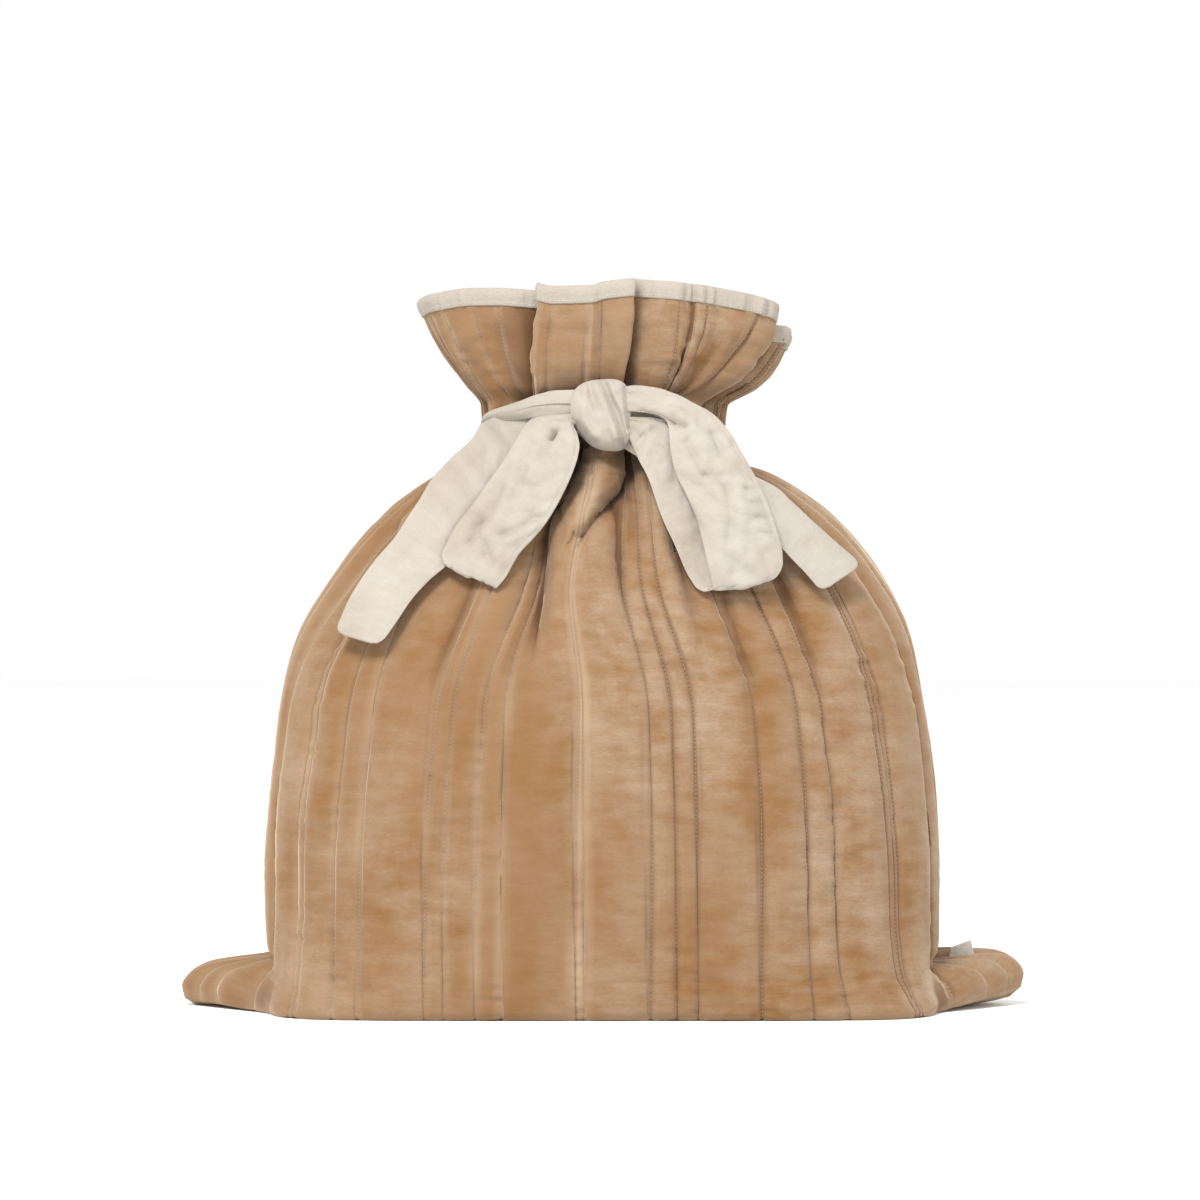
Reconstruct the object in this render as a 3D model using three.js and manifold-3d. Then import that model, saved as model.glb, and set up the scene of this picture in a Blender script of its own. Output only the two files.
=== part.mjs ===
// Quilted velvet sack with a tie neck, standing on the floor.
// Millimetres, +Z up, the front faces -Y. The origin is on the floor under the middle of the sack.
import * as THREE from 'three';
import { mergeVertices } from 'three/addons/utils/BufferGeometryUtils.js';
import Module from 'manifold-3d';

const wasm = await Module();
wasm.setup();

// Driving dimensions of the cloth
const CLOTH_HALF_WIDTH = 310; // half the flat width of one panel, from seam to seam
const CLOTH_THICKNESS = 3.2; // velvet, wadding and backing, pressed flat at a stitch line
const PUFF_HEIGHT = 2.4; // how far the wadding swells between two stitch lines
const FULL_SPACE = 24; // a narrower space between two stitch lines swells less
const NECK_PUFF = 0.15; // share of that swelling that is left where the cloth is gathered
const RIM_CALM = 40; // the swelling dies out over this height below the binding
const FLOOR_CALM = 14; // and over this height above the floor
const SEAM_GAP = 0.15; // half the gap between the two panels
const BINDING_HEIGHT = 11; // bias binding that shows below the rim
const BINDING_CLEAR = 0.8; // gap between binding and cloth, measured outwards
const BINDING_WALL = 1.8;
const BINDING_CAP = 0.5; // gap over the raw edge

// The two bottom corners of the sack
const EAR_PULL = 65; // how far a corner reaches out past the body
const EAR_START = 245; // distance from the middle of the cloth where a corner starts
const EAR_RIDGE_START = 268; // where the seam starts to rise into a ridge
const EAR_HOLLOW = 49; // the same reach for the inside of a corner
const BOTTOM_SEAM_HALF = 290; // half length of the bottom seam on the floor
const FRONT_ROLL = 4; // the cloth of a corner rolls up beside the seam, more at the back
const BACK_ROLL = 12;
const SEAM_DROP = 5.5; // how much lower the inside is under the ridge of a corner
const ROLL_DROP = 0.3; // share of the roll that is missing inside
const CORNER_STEP = 0.8; // the inside of a corner rises this much at each level
const RIGHT_LIFT = 6; // the right corner is lifted a little off the floor
const LIFT_START = 275; // from this distance from the middle of the cloth

// The tie
const TIE_THICKNESS = 2.2;
const ABOVE_CLOTH = 7.5; // the tails lie this far in front of the cloth
const BAND_MIDDLE = 405; // height of the band at the back
const BAND_RISE = 14; // it climbs to the knot in front
const BAND_TILT = 5; // and hangs lower on the right
const BAND_HEIGHT = 15;
const BAND_CLEAR = 1.1;
const KNOT = { x: -1.5, y: -73.2, z: 418, width: 24, depth: 15.5, height: 24.5 };
const KNOT_WAIST = 0.1; // share by which its middle is drawn in
const KNOT_LEAN = 0.06; // it is taller on the right
const KNOT_GAP = 0.3;

const VELVET = { color: 0xb8895a, roughness: 0.9, metalness: 0 };
const CREAM_VELVET = { color: 0xeadfce, roughness: 0.88, metalness: 0 };
const CREAM_BINDING = { color: 0xe6d6c3, roughness: 0.8, metalness: 0 };
const CREAM_LABEL = { color: 0xe9e0d2, roughness: 0.75, metalness: 0 };

// Level outlines of the sack from the floor to the rim. left and right are half widths, front and
// back are depths, square is the power of the rounded outline. gather goes from the even body to the
// neck, fold is the share of the neck's folds, flare goes from neck to rim.
const LEVELS = [
  { z: 0, left: 233, right: 233, front: 128, back: 128, square: 6 },
  { z: 4, left: 233, right: 233, front: 131, back: 131, square: 5.5 },
  { z: 9, left: 233, right: 233, front: 132, back: 132, square: 4.7 },
  { z: 16, left: 233, right: 233, front: 133, back: 133, square: 4 },
  { z: 28, left: 234, right: 234, front: 133, back: 133, square: 3.3 },
  { z: 52, left: 237, right: 237, front: 133, back: 133, square: 2.8 },
  { z: 100, left: 238, right: 237.5, front: 134, back: 134, square: 2.65 },
  { z: 146, left: 235, right: 234.5, front: 134, back: 133, square: 2.6 },
  { z: 188, left: 230, right: 230.5, front: 131, back: 130, square: 2.5 },
  { z: 229, left: 225, right: 224, front: 126, back: 125, square: 2.45 },
  { z: 264, left: 215, right: 217, front: 119, back: 118, square: 2.4, gather: 0.06, fold: 0.05 },
  { z: 298, left: 196, right: 203, front: 108, back: 106, square: 2.3, gather: 0.18, fold: 0.14 },
  { z: 330, left: 173, right: 181, front: 94, back: 92, square: 2.25, gather: 0.38, fold: 0.32 },
  { z: 358, left: 145, right: 151, front: 79, back: 77, square: 2.2, gather: 0.62, fold: 0.56 },
  { z: 378, left: 117, right: 119, front: 66, back: 64, square: 2.2, gather: 0.85, fold: 0.82 },
  { z: 391, left: 86, right: 87, front: 53, back: 51, square: 2.2, gather: 1, fold: 1 },
  { z: 409, left: 86, right: 87, front: 53, back: 51, square: 2.2, gather: 1, fold: 1 },
  { z: 427, left: 86.5, right: 88.5, front: 53, back: 52, square: 2.2, gather: 1, fold: 1, flare: 0.08 },
  { z: 441, left: 97, right: 111, front: 62, back: 61, square: 2.15, gather: 1, fold: 1, flare: 0.35 },
  { z: 458, left: 110, right: 125, front: 69, back: 67, square: 2.1, gather: 1, fold: 1, flare: 0.58 },
  { z: 478, left: 122, right: 134, front: 74, back: 72, square: 2.1, gather: 1, fold: 1, flare: 0.8 },
  { z: 499, left: 131, right: 134, front: 78, back: 76, square: 2.1, gather: 1, fold: 1, flare: 0.97 },
  { z: 510, left: 133, right: 134, front: 79, back: 77, square: 2.1, gather: 1, fold: 1, flare: 1 },
];
// The corners at the lowest levels. pull is the share of their reach, ridgeLeft and ridgeRight are
// the seam's heights over them, roll is the share of the soft roll on each side of that seam.
const CORNER_LEVELS = [
  { pull: 1, ridgeLeft: 5, ridgeRight: 13, roll: 0 },
  { pull: 1.03, ridgeLeft: 15, ridgeRight: 23, roll: 0.35 },
  { pull: 0.8, ridgeLeft: 27, ridgeRight: 32, roll: 0.8 },
  { pull: 0.5, ridgeLeft: 30, ridgeRight: 34, roll: 1 },
  { pull: 0.05, ridgeLeft: 32, ridgeRight: 33, roll: 1 },
];
const NECK = LEVELS.find((level) => level.z === 409); // the tie sits below it, the flare above
const NECK_TOP = NECK.z;
const RIM = 510; // height of the rim before each place gets its own

// Crests and valleys of the gathered cloth. cloth is the distance from the middle of the panel,
// neck and rim are places along the outline there (1 at the seam), the depths go inwards and
// height is the rim's own height.
const FRONT_FOLDS = [
  { cloth: -310, neck: -1, rim: -1, neckDepth: 0, rimDepth: 0, height: 500 },
  { cloth: -262, neck: -0.9, rim: -0.93, neckDepth: 20, rimDepth: 20, height: 499 },
  { cloth: -215, neck: -0.79, rim: -0.86, neckDepth: 0, rimDepth: 0, height: 500 },
  { cloth: -148, neck: -0.69, rim: -0.78, neckDepth: 0, rimDepth: 0, height: 503 },
  { cloth: -105, neck: -0.595, rim: -0.36, neckDepth: 20, rimDepth: 24, height: 503 },
  { cloth: -70, neck: -0.5, rim: -0.265, neckDepth: 0, rimDepth: 0, height: 507 },
  { cloth: 2, neck: -0.05, rim: 0.1, neckDepth: 0, rimDepth: 0, height: 510 },
  { cloth: 22, neck: 0.045, rim: 0.165, neckDepth: 22, rimDepth: 26, height: 506 },
  { cloth: 42, neck: 0.14, rim: 0.235, neckDepth: 0, rimDepth: 0, height: 509 },
  { cloth: 62, neck: 0.24, rim: 0.33, neckDepth: 0, rimDepth: 0, height: 508 },
  { cloth: 78, neck: 0.335, rim: 0.39, neckDepth: 20, rimDepth: 20, height: 506 },
  { cloth: 98, neck: 0.43, rim: 0.45, neckDepth: 0, rimDepth: 0, height: 505 },
  { cloth: 150, neck: 0.58, rim: 0.8, neckDepth: 0, rimDepth: 0, height: 496 },
  { cloth: 175, neck: 0.68, rim: 0.865, neckDepth: 20, rimDepth: 22, height: 485 },
  { cloth: 205, neck: 0.775, rim: 0.93, neckDepth: 0, rimDepth: 0, height: 478 },
  { cloth: 255, neck: 0.885, rim: 0.965, neckDepth: 20, rimDepth: 8, height: 484 },
  { cloth: 310, neck: 1, rim: 1, neckDepth: 0, rimDepth: 0, height: 490 },
];
const BACK_FOLDS = [
  { cloth: -310, neck: -1, rim: -1, neckDepth: 0, rimDepth: 0, height: 500 },
  { cloth: -268, neck: -0.89, rim: -0.9, neckDepth: 20, rimDepth: 20, height: 498 },
  { cloth: -225, neck: -0.78, rim: -0.8, neckDepth: 0, rimDepth: 0, height: 501 },
  { cloth: -180, neck: -0.66, rim: -0.66, neckDepth: 0, rimDepth: 0, height: 504 },
  { cloth: -150, neck: -0.56, rim: -0.57, neckDepth: 20, rimDepth: 24, height: 501 },
  { cloth: -120, neck: -0.46, rim: -0.48, neckDepth: 0, rimDepth: 0, height: 505 },
  { cloth: -62, neck: -0.24, rim: -0.24, neckDepth: 0, rimDepth: 0, height: 506 },
  { cloth: -38, neck: -0.14, rim: -0.15, neckDepth: 22, rimDepth: 26, height: 502 },
  { cloth: -12, neck: -0.04, rim: -0.06, neckDepth: 0, rimDepth: 0, height: 506 },
  { cloth: 38, neck: 0.14, rim: 0.17, neckDepth: 0, rimDepth: 0, height: 506 },
  { cloth: 64, neck: 0.24, rim: 0.26, neckDepth: 20, rimDepth: 24, height: 502 },
  { cloth: 92, neck: 0.34, rim: 0.35, neckDepth: 0, rimDepth: 0, height: 504 },
  { cloth: 142, neck: 0.52, rim: 0.56, neckDepth: 0, rimDepth: 0, height: 501 },
  { cloth: 172, neck: 0.62, rim: 0.65, neckDepth: 20, rimDepth: 22, height: 496 },
  { cloth: 204, neck: 0.73, rim: 0.74, neckDepth: 0, rimDepth: 0, height: 493 },
  { cloth: 255, neck: 0.87, rim: 0.88, neckDepth: 20, rimDepth: 20, height: 488 },
  { cloth: 310, neck: 1, rim: 1, neckDepth: 0, rimDepth: 0, height: 490 },
];

// Quilting lines, as distances from the middle of each panel. The hand of the machinist wanders,
// so no two spaces are alike.
const FRONT_STITCHES = [
  -297, -257, -220, -190, -170, -122, -109, -87, -70, -16, 33, 50, 65, 109, 142, 162, 209, 244, 285,
];
const BACK_STITCHES = [
  -296, -262, -236, -201, -166, -150, -113, -94, -55, -38, 12, 38, 64, 98, 131, 150, 187, 222, 255, 292,
];
const WIDEST_SPACE = 27; // a wider space between lines gets two columns of faces
const CLOSEST_COLUMNS = 7;

// One soft crease below the neck that the folds of the neck don't make.
const SHOULDER_CREASE = { cloth: -42, width: 20, depth: 7, low: 225, high: 398, deepest: 318 };

const clamp01 = (value) => Math.min(1, Math.max(0, value));
const mix = (a, b, share) => a + (b - a) * share;
const ease = (value) => clamp01(value) ** 2 * (3 - 2 * clamp01(value));
const eased = (a, b, share) => mix(a, b, ease(share));

// Reads one column of a table at a place along its first column.
function read(table, key, column, at, blend = mix) {
  let next = table.findIndex((row) => row[key] >= at);
  if (next < 0) next = table.length - 1;
  if (next === 0) next = 1;
  const low = table[next - 1];
  const high = table[next];
  const share = clamp01((at - low[key]) / (high[key] - low[key]));
  return blend(low[column] ?? 0, high[column] ?? 0, share);
}

// A quarter of a rounded outline, from the middle of the front to the side, walked by length.
const OUTLINE_STEPS = 160;
function quarterOutline(width, depth, square) {
  const steps = [{ x: 0, y: depth, length: 0 }];
  for (let i = 1; i <= OUTLINE_STEPS; i += 1) {
    const angle = (i / OUTLINE_STEPS) * Math.PI * 0.5;
    const x = width * Math.sin(angle) ** (2 / square);
    const y = i === OUTLINE_STEPS ? 0 : depth * Math.cos(angle) ** (2 / square);
    const last = steps[i - 1];
    steps.push({ x, y, length: last.length + Math.hypot(x - last.x, y - last.y) });
  }
  const total = steps[OUTLINE_STEPS].length;
  return (share) => {
    const length = clamp01(share) * total;
    const x = read(steps, 'length', 'x', length);
    const y = read(steps, 'length', 'y', length);
    const nx = (x / width) ** (square - 1) / width;
    const ny = (y / depth) ** (square - 1) / depth;
    const size = Math.hypot(nx, ny);
    return { x, y, nx: nx / size, ny: ny / size };
  };
}

// A panel of the sack: which way it faces, its folds, its stitch lines and its columns of faces.
function makePanel(facing, folds, stitches, depthColumn) {
  const outlines = LEVELS.map((level) => ({
    '-1': quarterOutline(level.left, level[depthColumn], level.square),
    1: quarterOutline(level.right, level[depthColumn], level.square),
  }));
  const lines = [-CLOTH_HALF_WIDTH, ...stitches, CLOTH_HALF_WIDTH];
  const places = folds.map((fold) => fold.cloth);
  const tryPlace = (place) => {
    if (places.every((other) => Math.abs(other - place) >= CLOSEST_COLUMNS)) places.push(place);
  };
  stitches.forEach(tryPlace);
  for (let i = 1; i < lines.length; i += 1) {
    const space = lines[i] - lines[i - 1];
    const parts = space > WIDEST_SPACE ? 3 : 2;
    for (let part = 1; part < parts; part += 1) tryPlace(lines[i - 1] + (space * part) / parts);
  }
  places.sort((a, b) => a - b);
  return { facing, folds, lines, outlines, places };
}

// How far the wadding swells at a place of the cloth: nothing on a stitch line.
function puffAt(panel, cloth) {
  const next = Math.max(1, panel.lines.findIndex((line) => line >= cloth));
  const space = panel.lines[next] - panel.lines[next - 1];
  const across = (2 * (cloth - panel.lines[next - 1])) / space - 1;
  return PUFF_HEIGHT * Math.min(1, space / FULL_SPACE) * (1 - across * across);
}

// A point of the cloth above the floor. inset goes inwards, so 0 is the outside before it swells.
function wallPoint(panel, cloth, index, inset, extraHeight = 0) {
  const level = LEVELS[index];
  const corner = CORNER_LEVELS[index];
  const hand = cloth < 0 ? -1 : 1;
  const away = Math.abs(cloth);
  const inside = inset > 0;
  const gather = level.gather ?? 0;
  const flare = level.flare ?? 0;
  const even = cloth / CLOTH_HALF_WIDTH;
  const atNeck = read(panel.folds, 'cloth', 'neck', cloth);
  const atRim = read(panel.folds, 'cloth', 'rim', cloth);
  const along = mix(mix(even, atNeck, gather), atRim, flare);
  const neckDepth = read(panel.folds, 'cloth', 'neckDepth', cloth, eased);
  const rimDepth = read(panel.folds, 'cloth', 'rimDepth', cloth, eased);
  const depth = mix(neckDepth * (level.fold ?? 0), rimDepth, flare);
  const point = panel.outlines[index][hand](Math.abs(along));
  const inwards = depth + creaseAt(panel, cloth, level.z) + inset;

  const reach = clamp01((away - EAR_START) / (CLOTH_HALF_WIDTH - EAR_START));
  const pull = (inside ? EAR_HOLLOW : EAR_PULL) * (corner?.pull ?? 0) * reach;
  const x = hand * (point.x - point.nx * inwards + pull);
  const y = panel.facing * (SEAM_GAP + Math.max(0, point.y - point.ny * inwards));

  let z = level.z + extraHeight;
  if (corner) {
    z = cornerHeight(panel, cloth, index, inside);
  } else if (level.z > NECK_TOP) {
    const own = read(panel.folds, 'cloth', 'height', cloth, eased);
    z = NECK_TOP + (level.z - NECK_TOP) * ((own - NECK_TOP) / (RIM - NECK_TOP)) + extraHeight;
  }
  return new THREE.Vector3(x, y, z);
}

// Over a corner the cloth rises to the ridge of the seam, with a soft roll before it.
function cornerHeight(panel, cloth, index, inside) {
  const corner = CORNER_LEVELS[index];
  const low = LEVELS[index].z;
  const start = Math.abs(cloth) - EAR_RIDGE_START;
  const towardsSeam = clamp01(start / (CLOTH_HALF_WIDTH - EAR_RIDGE_START));
  const ridge = towardsSeam ** 2;
  const rollHeight = panel.facing < 0 ? FRONT_ROLL : BACK_ROLL;
  const roll = rollHeight * Math.sin(Math.PI * towardsSeam) * corner.roll;
  const outside = mix(low, cloth < 0 ? corner.ridgeLeft : corner.ridgeRight, ridge) + roll;
  if (!inside) return outside;
  const lowest = CLOTH_THICKNESS + CORNER_STEP * index + floorLift(cloth);
  return Math.max(outside - SEAM_DROP * ridge - ROLL_DROP * roll, lowest);
}

function creaseAt(panel, cloth, z) {
  if (panel.facing > 0 || z < SHOULDER_CREASE.low || z > SHOULDER_CREASE.high) return 0;
  const across = Math.abs(cloth - SHOULDER_CREASE.cloth) / SHOULDER_CREASE.width;
  const end = z < SHOULDER_CREASE.deepest ? SHOULDER_CREASE.low : SHOULDER_CREASE.high;
  const up = (z - end) / (SHOULDER_CREASE.deepest - end);
  return SHOULDER_CREASE.depth * ease(1 - across) * ease(up);
}

function floorLift(cloth) {
  return RIGHT_LIFT * clamp01((cloth - LIFT_START) / (CLOTH_HALF_WIDTH - LIFT_START)) ** 1.5;
}

// A point of the cloth that lies on the floor, between the bottom seam and the floor edge.
function floorPoint(panel, cloth, share, inside) {
  const edge = wallPoint(panel, cloth, 0, inside ? CLOTH_THICKNESS : 0);
  const half = inside ? BOTTOM_SEAM_HALF - (EAR_PULL - EAR_HOLLOW) : BOTTOM_SEAM_HALF;
  const x = mix((cloth / CLOTH_HALF_WIDTH) * half, edge.x, share);
  const y = mix(panel.facing * SEAM_GAP, edge.y, share);
  const z = mix(floorLift(cloth) + (inside ? CLOTH_THICKNESS : 0), edge.z, share);
  return new THREE.Vector3(x, y, z);
}

// Rows of one face of a panel, from the bottom seam to the rim.
const FLOOR_SHARES = [0, 0.55];
function panelRows(panel, inside) {
  const onFloor = FLOOR_SHARES.map((share) => panel.places.map(
    (cloth) => floorPoint(panel, cloth, share, inside),
  ));
  const onWall = LEVELS.map((level, index) => panel.places.map((cloth) => {
    const belowBinding = clamp01((RIM - BINDING_HEIGHT - level.z) / RIM_CALM);
    const calm = belowBinding * clamp01(level.z / FLOOR_CALM);
    const swell = puffAt(panel, cloth) * calm * mix(1, NECK_PUFF, level.fold ?? 0);
    return wallPoint(panel, cloth, index, inside ? CLOTH_THICKNESS : -swell);
  }));
  return [...onFloor, ...onWall];
}

function meshFrom(name, points, faces, finish) {
  const geometry = new THREE.BufferGeometry();
  const flat = points.flatMap((point) => [point.x, point.y, point.z]);
  geometry.setAttribute('position', new THREE.Float32BufferAttribute(flat, 3));
  geometry.setIndex(faces.flat());
  geometry.computeVertexNormals();
  const mesh = new THREE.Mesh(geometry, new THREE.MeshStandardMaterial(finish));
  mesh.name = name;
  return mesh;
}

// Joins two like grids of points, an outer and an inner one, into one closed sheet.
function closedSheet(name, outer, inner, finish, flip) {
  const columns = outer[0].length;
  const rows = outer.length;
  const points = [...outer.flat(), ...inner.flat()];
  const at = (row, column) => row * columns + column;
  const behind = rows * columns;
  const faces = [];
  const quad = (a, b, c, d) => {
    faces.push(flip ? [a, c, b] : [a, b, c]);
    faces.push(flip ? [a, d, c] : [a, c, d]);
  };
  for (let row = 0; row < rows - 1; row += 1) {
    for (let column = 0; column < columns - 1; column += 1) {
      const corners = [at(row, column), at(row, column + 1), at(row + 1, column + 1), at(row + 1, column)];
      quad(...corners);
      quad(...corners.map((corner) => corner + behind).reverse());
    }
  }
  for (let column = 0; column < columns - 1; column += 1) {
    quad(at(0, column + 1), at(0, column), at(0, column) + behind, at(0, column + 1) + behind);
    const top = rows - 1;
    quad(at(top, column), at(top, column + 1), at(top, column + 1) + behind, at(top, column) + behind);
  }
  for (let row = 0; row < rows - 1; row += 1) {
    quad(at(row, 0), at(row + 1, 0), at(row + 1, 0) + behind, at(row, 0) + behind);
    const last = columns - 1;
    quad(at(row + 1, last), at(row, last), at(row, last) + behind, at(row + 1, last) + behind);
  }
  return meshFrom(name, points, faces, finish);
}

// Closes a ring of like sections, given as one list of points, section after section.
function closedRing(name, points, size, finish) {
  const around = points.length / size;
  const faces = [];
  for (let stop = 0; stop < around; stop += 1) {
    const next = (stop + 1) % around;
    for (let corner = 0; corner < size; corner += 1) {
      const following = (corner + 1) % size;
      const a = stop * size + corner;
      const b = next * size + corner;
      const c = next * size + following;
      const d = stop * size + following;
      faces.push([a, b, c], [a, c, d]);
    }
  }
  return meshFrom(name, points, faces, finish);
}

// The binding is a ring with a U-shaped section that sits over the rim of both panels.
function bindingRing(front, back) {
  const last = LEVELS.length - 1;
  const out = -(BINDING_CLEAR + BINDING_WALL);
  const into = CLOTH_THICKNESS + BINDING_CLEAR;
  const section = [
    { level: last - 1, inset: out, up: 0 },
    { level: last, inset: out, up: 0 },
    { level: last, inset: -BINDING_CLEAR, up: BINDING_CAP + BINDING_WALL },
    { level: last, inset: into, up: BINDING_CAP + BINDING_WALL },
    { level: last, inset: into + BINDING_WALL, up: 0 },
    { level: last - 1, inset: into + BINDING_WALL, up: 0 },
    { level: last - 1, inset: into, up: 0 },
    { level: last, inset: into, up: BINDING_CAP },
    { level: last, inset: -BINDING_CLEAR, up: BINDING_CAP },
    { level: last - 1, inset: -BINDING_CLEAR, up: 0 },
  ];
  const stops = [
    ...front.places.map((cloth) => [front, cloth]),
    ...back.places.slice(1, -1).reverse().map((cloth) => [back, cloth]),
  ];
  const points = [];
  for (const [panel, cloth] of stops) {
    const atSeam = Math.abs(cloth) === CLOTH_HALF_WIDTH;
    for (const corner of section) {
      const point = wallPoint(panel, cloth, corner.level, corner.inset, corner.up);
      if (atSeam) point.y = 0;
      points.push(point);
    }
  }
  return closedRing('mouth_binding', points, section.length, CREAM_BINDING);
}

// The band of the tie: a bunched ring that hugs the crests of the neck. out and z are measured from
// the neck's outline and from the middle of the band.
const BAND_STEPS = 14;
const BAND_SECTION = [
  { out: 0, z: -0.5 },
  { out: 2.2, z: -0.5 },
  { out: 3, z: -0.2 },
  { out: 2.6, z: 0.1 },
  { out: 3, z: 0.35 },
  { out: 1.8, z: 0.5 },
  { out: 0, z: 0.5 },
];
function tieBand() {
  const points = [];
  for (const [facing, depth] of [[-1, NECK.front], [1, NECK.back]]) {
    for (let i = -BAND_STEPS; i < BAND_STEPS; i += 1) {
      const share = (-facing * i) / BAND_STEPS;
      const hand = share < 0 ? -1 : 1;
      const width = hand < 0 ? NECK.left : NECK.right;
      const spot = quarterOutline(width, depth, NECK.square)(Math.abs(share));
      for (const corner of BAND_SECTION) {
        const out = BAND_CLEAR + PUFF_HEIGHT * NECK_PUFF + corner.out;
        const x = hand * (spot.x + spot.nx * out);
        const y = facing * (spot.y + spot.ny * out);
        const rise = facing < 0 ? (BAND_RISE * spot.y) / depth : 0;
        const tilt = (BAND_TILT * hand * spot.x) / width;
        points.push(new THREE.Vector3(x, y, BAND_MIDDLE + rise - tilt + corner.z * BAND_HEIGHT));
      }
    }
  }
  return closedRing('tie_band', points, BAND_SECTION.length, CREAM_VELVET);
}

// The knot is a pulled-in lump with a wrap across it.
function knotGeometry(grown) {
  const geometry = new THREE.SphereGeometry(1, 20, 12);
  geometry.rotateX(Math.PI / 2);
  const place = geometry.attributes.position;
  const point = new THREE.Vector3();
  for (let i = 0; i < place.count; i += 1) {
    point.fromBufferAttribute(place, i);
    const waist = 1 - KNOT_WAIST * Math.cos(point.z * Math.PI);
    const x = point.x * (KNOT.width * waist + grown);
    const y = point.y * (KNOT.depth + grown);
    const z = point.z * (KNOT.height + grown) * (1 + KNOT_LEAN * point.x);
    place.setXYZ(i, KNOT.x + x, KNOT.y + y, KNOT.z + z);
  }
  return geometry;
}

// How far in front of the middle plane the cloth lies at a place seen from the front.
function clothDepth(x, z) {
  const half = read(LEVELS, 'z', x < 0 ? 'left' : 'right', z);
  const depth = read(LEVELS, 'z', 'front', z);
  const square = read(LEVELS, 'z', 'square', z);
  return depth * (1 - clamp01(Math.abs(x) / half) ** square) ** (1 / square);
}

// Stations of each free part of the tie, from the knot outwards. a and b are the two edges of the
// strip, seen from the front. y is its depth, or lift is its distance in front of the cloth. belly
// bows the strip forwards between its edges.
const LOOP_LEFT = [
  { ax: -12, az: 424, bx: -12, bz: 400, y: -80 },
  { ax: -26, az: 416, bx: -18, bz: 396, y: -87 },
  { ax: -52, az: 416, bx: -17, bz: 388, y: -89, belly: 2 },
  { ax: -77, az: 413, bx: -21, bz: 374, y: -91, belly: 4 },
  { ax: -97, az: 394, bx: -31, bz: 352, y: -93, belly: 5 },
  { ax: -112, az: 374, bx: -45, bz: 334, y: -96, belly: 5 },
  { ax: -118, az: 350, bx: -58, bz: 319, y: -102, belly: 4 },
  { ax: -113, az: 328, bx: -67, bz: 304, y: -110, belly: 3 },
  { ax: -105, az: 313, bx: -75, bz: 297, y: -115, belly: 1 },
  { ax: -105, az: 311, bx: -76, bz: 295.5, y: -111, belly: 0 },
  { ax: -106, az: 314, bx: -77, bz: 298, y: -107, belly: 0 },
  { ax: -116, az: 332, bx: -70, bz: 308, y: -104, belly: 0 },
  { ax: -120, az: 354, bx: -62, bz: 324, y: -95 },
  { ax: -114, az: 376, bx: -60, bz: 346, y: -89 },
  { ax: -98, az: 396, bx: -52, bz: 372, y: -85 },
  { ax: -76, az: 406, bx: -40, bz: 384, y: -83 },
  { ax: -44, az: 411, bx: -28, bz: 392, y: -80 },
  { ax: -12, az: 413, bx: -12, bz: 397, y: -76 },
];
const LOOP_RIGHT = [
  { ax: 10, az: 404, bx: 10, bz: 422, y: -80 },
  { ax: 22, az: 396, bx: 34, bz: 416, y: -84 },
  { ax: 29, az: 376, bx: 50, bz: 392, y: -87, belly: 2 },
  { ax: 36, az: 357, bx: 66, bz: 368, y: -90, belly: 2 },
  { ax: 44, az: 336, bx: 80, bz: 346, y: -95, belly: 2 },
  { ax: 53, az: 316, bx: 92, bz: 322, y: -101, belly: 1 },
  { ax: 61, az: 299, bx: 100, bz: 303, y: -107 },
  { ax: 66, az: 295, bx: 108, bz: 299, y: -110 },
  { ax: 74, az: 296, bx: 117, bz: 303, y: -113 },
  { ax: 74, az: 303, bx: 123, bz: 314, y: -111, belly: 2 },
  { ax: 71, az: 320, bx: 119, bz: 334, y: -107, belly: 5 },
  { ax: 62, az: 350, bx: 112, bz: 354, y: -102, belly: 6 },
  { ax: 54, az: 372, bx: 99, bz: 381, y: -98, belly: 6 },
  { ax: 49, az: 393, bx: 91, bz: 397, y: -95, belly: 5 },
  { ax: 46, az: 411, bx: 77, bz: 414, y: -93, belly: 4 },
  { ax: 40, az: 418, bx: 53, bz: 429, y: -90, belly: 2 },
  { ax: 26, az: 420, bx: 32, bz: 436, y: -86 },
  { ax: 8, az: 420, bx: 8, bz: 436, y: -80 },
];
const TAIL_LEFT = [
  { ax: -12, az: 410, bx: -12, bz: 396, y: -68 },
  { ax: -40, az: 400, bx: -30, bz: 382, y: -72 },
  { ax: -74, az: 384, bx: -50, bz: 362, y: -77 },
  { ax: -106, az: 364, bx: -76, bz: 340, lift: ABOVE_CLOTH },
  { ax: -132, az: 342, bx: -104, bz: 316, lift: ABOVE_CLOTH },
  { ax: -149, az: 322, bx: -119, bz: 301, lift: ABOVE_CLOTH },
  { ax: -166, az: 301, bx: -133, bz: 286, lift: ABOVE_CLOTH },
  { ax: -177, az: 281, bx: -141, bz: 275, lift: ABOVE_CLOTH },
  { ax: -183, az: 266.5, bx: -148, bz: 259, lift: ABOVE_CLOTH },
];
const TAIL_RIGHT = [
  { ax: 9, az: 416, bx: 9, bz: 398, y: -72 },
  { ax: 40, az: 404, bx: 30, bz: 384, y: -72 },
  { ax: 74, az: 392, bx: 58, bz: 366, y: -79 },
  { ax: 106, az: 374, bx: 88, bz: 350, y: -81 },
  { ax: 131, az: 361, bx: 112, bz: 336, lift: ABOVE_CLOTH + 1 },
  { ax: 148, az: 340, bx: 127, bz: 322, lift: ABOVE_CLOTH },
  { ax: 164, az: 327, bx: 139, bz: 308, lift: ABOVE_CLOTH },
  { ax: 180, az: 312, bx: 151, bz: 294, lift: ABOVE_CLOTH },
];

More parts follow.
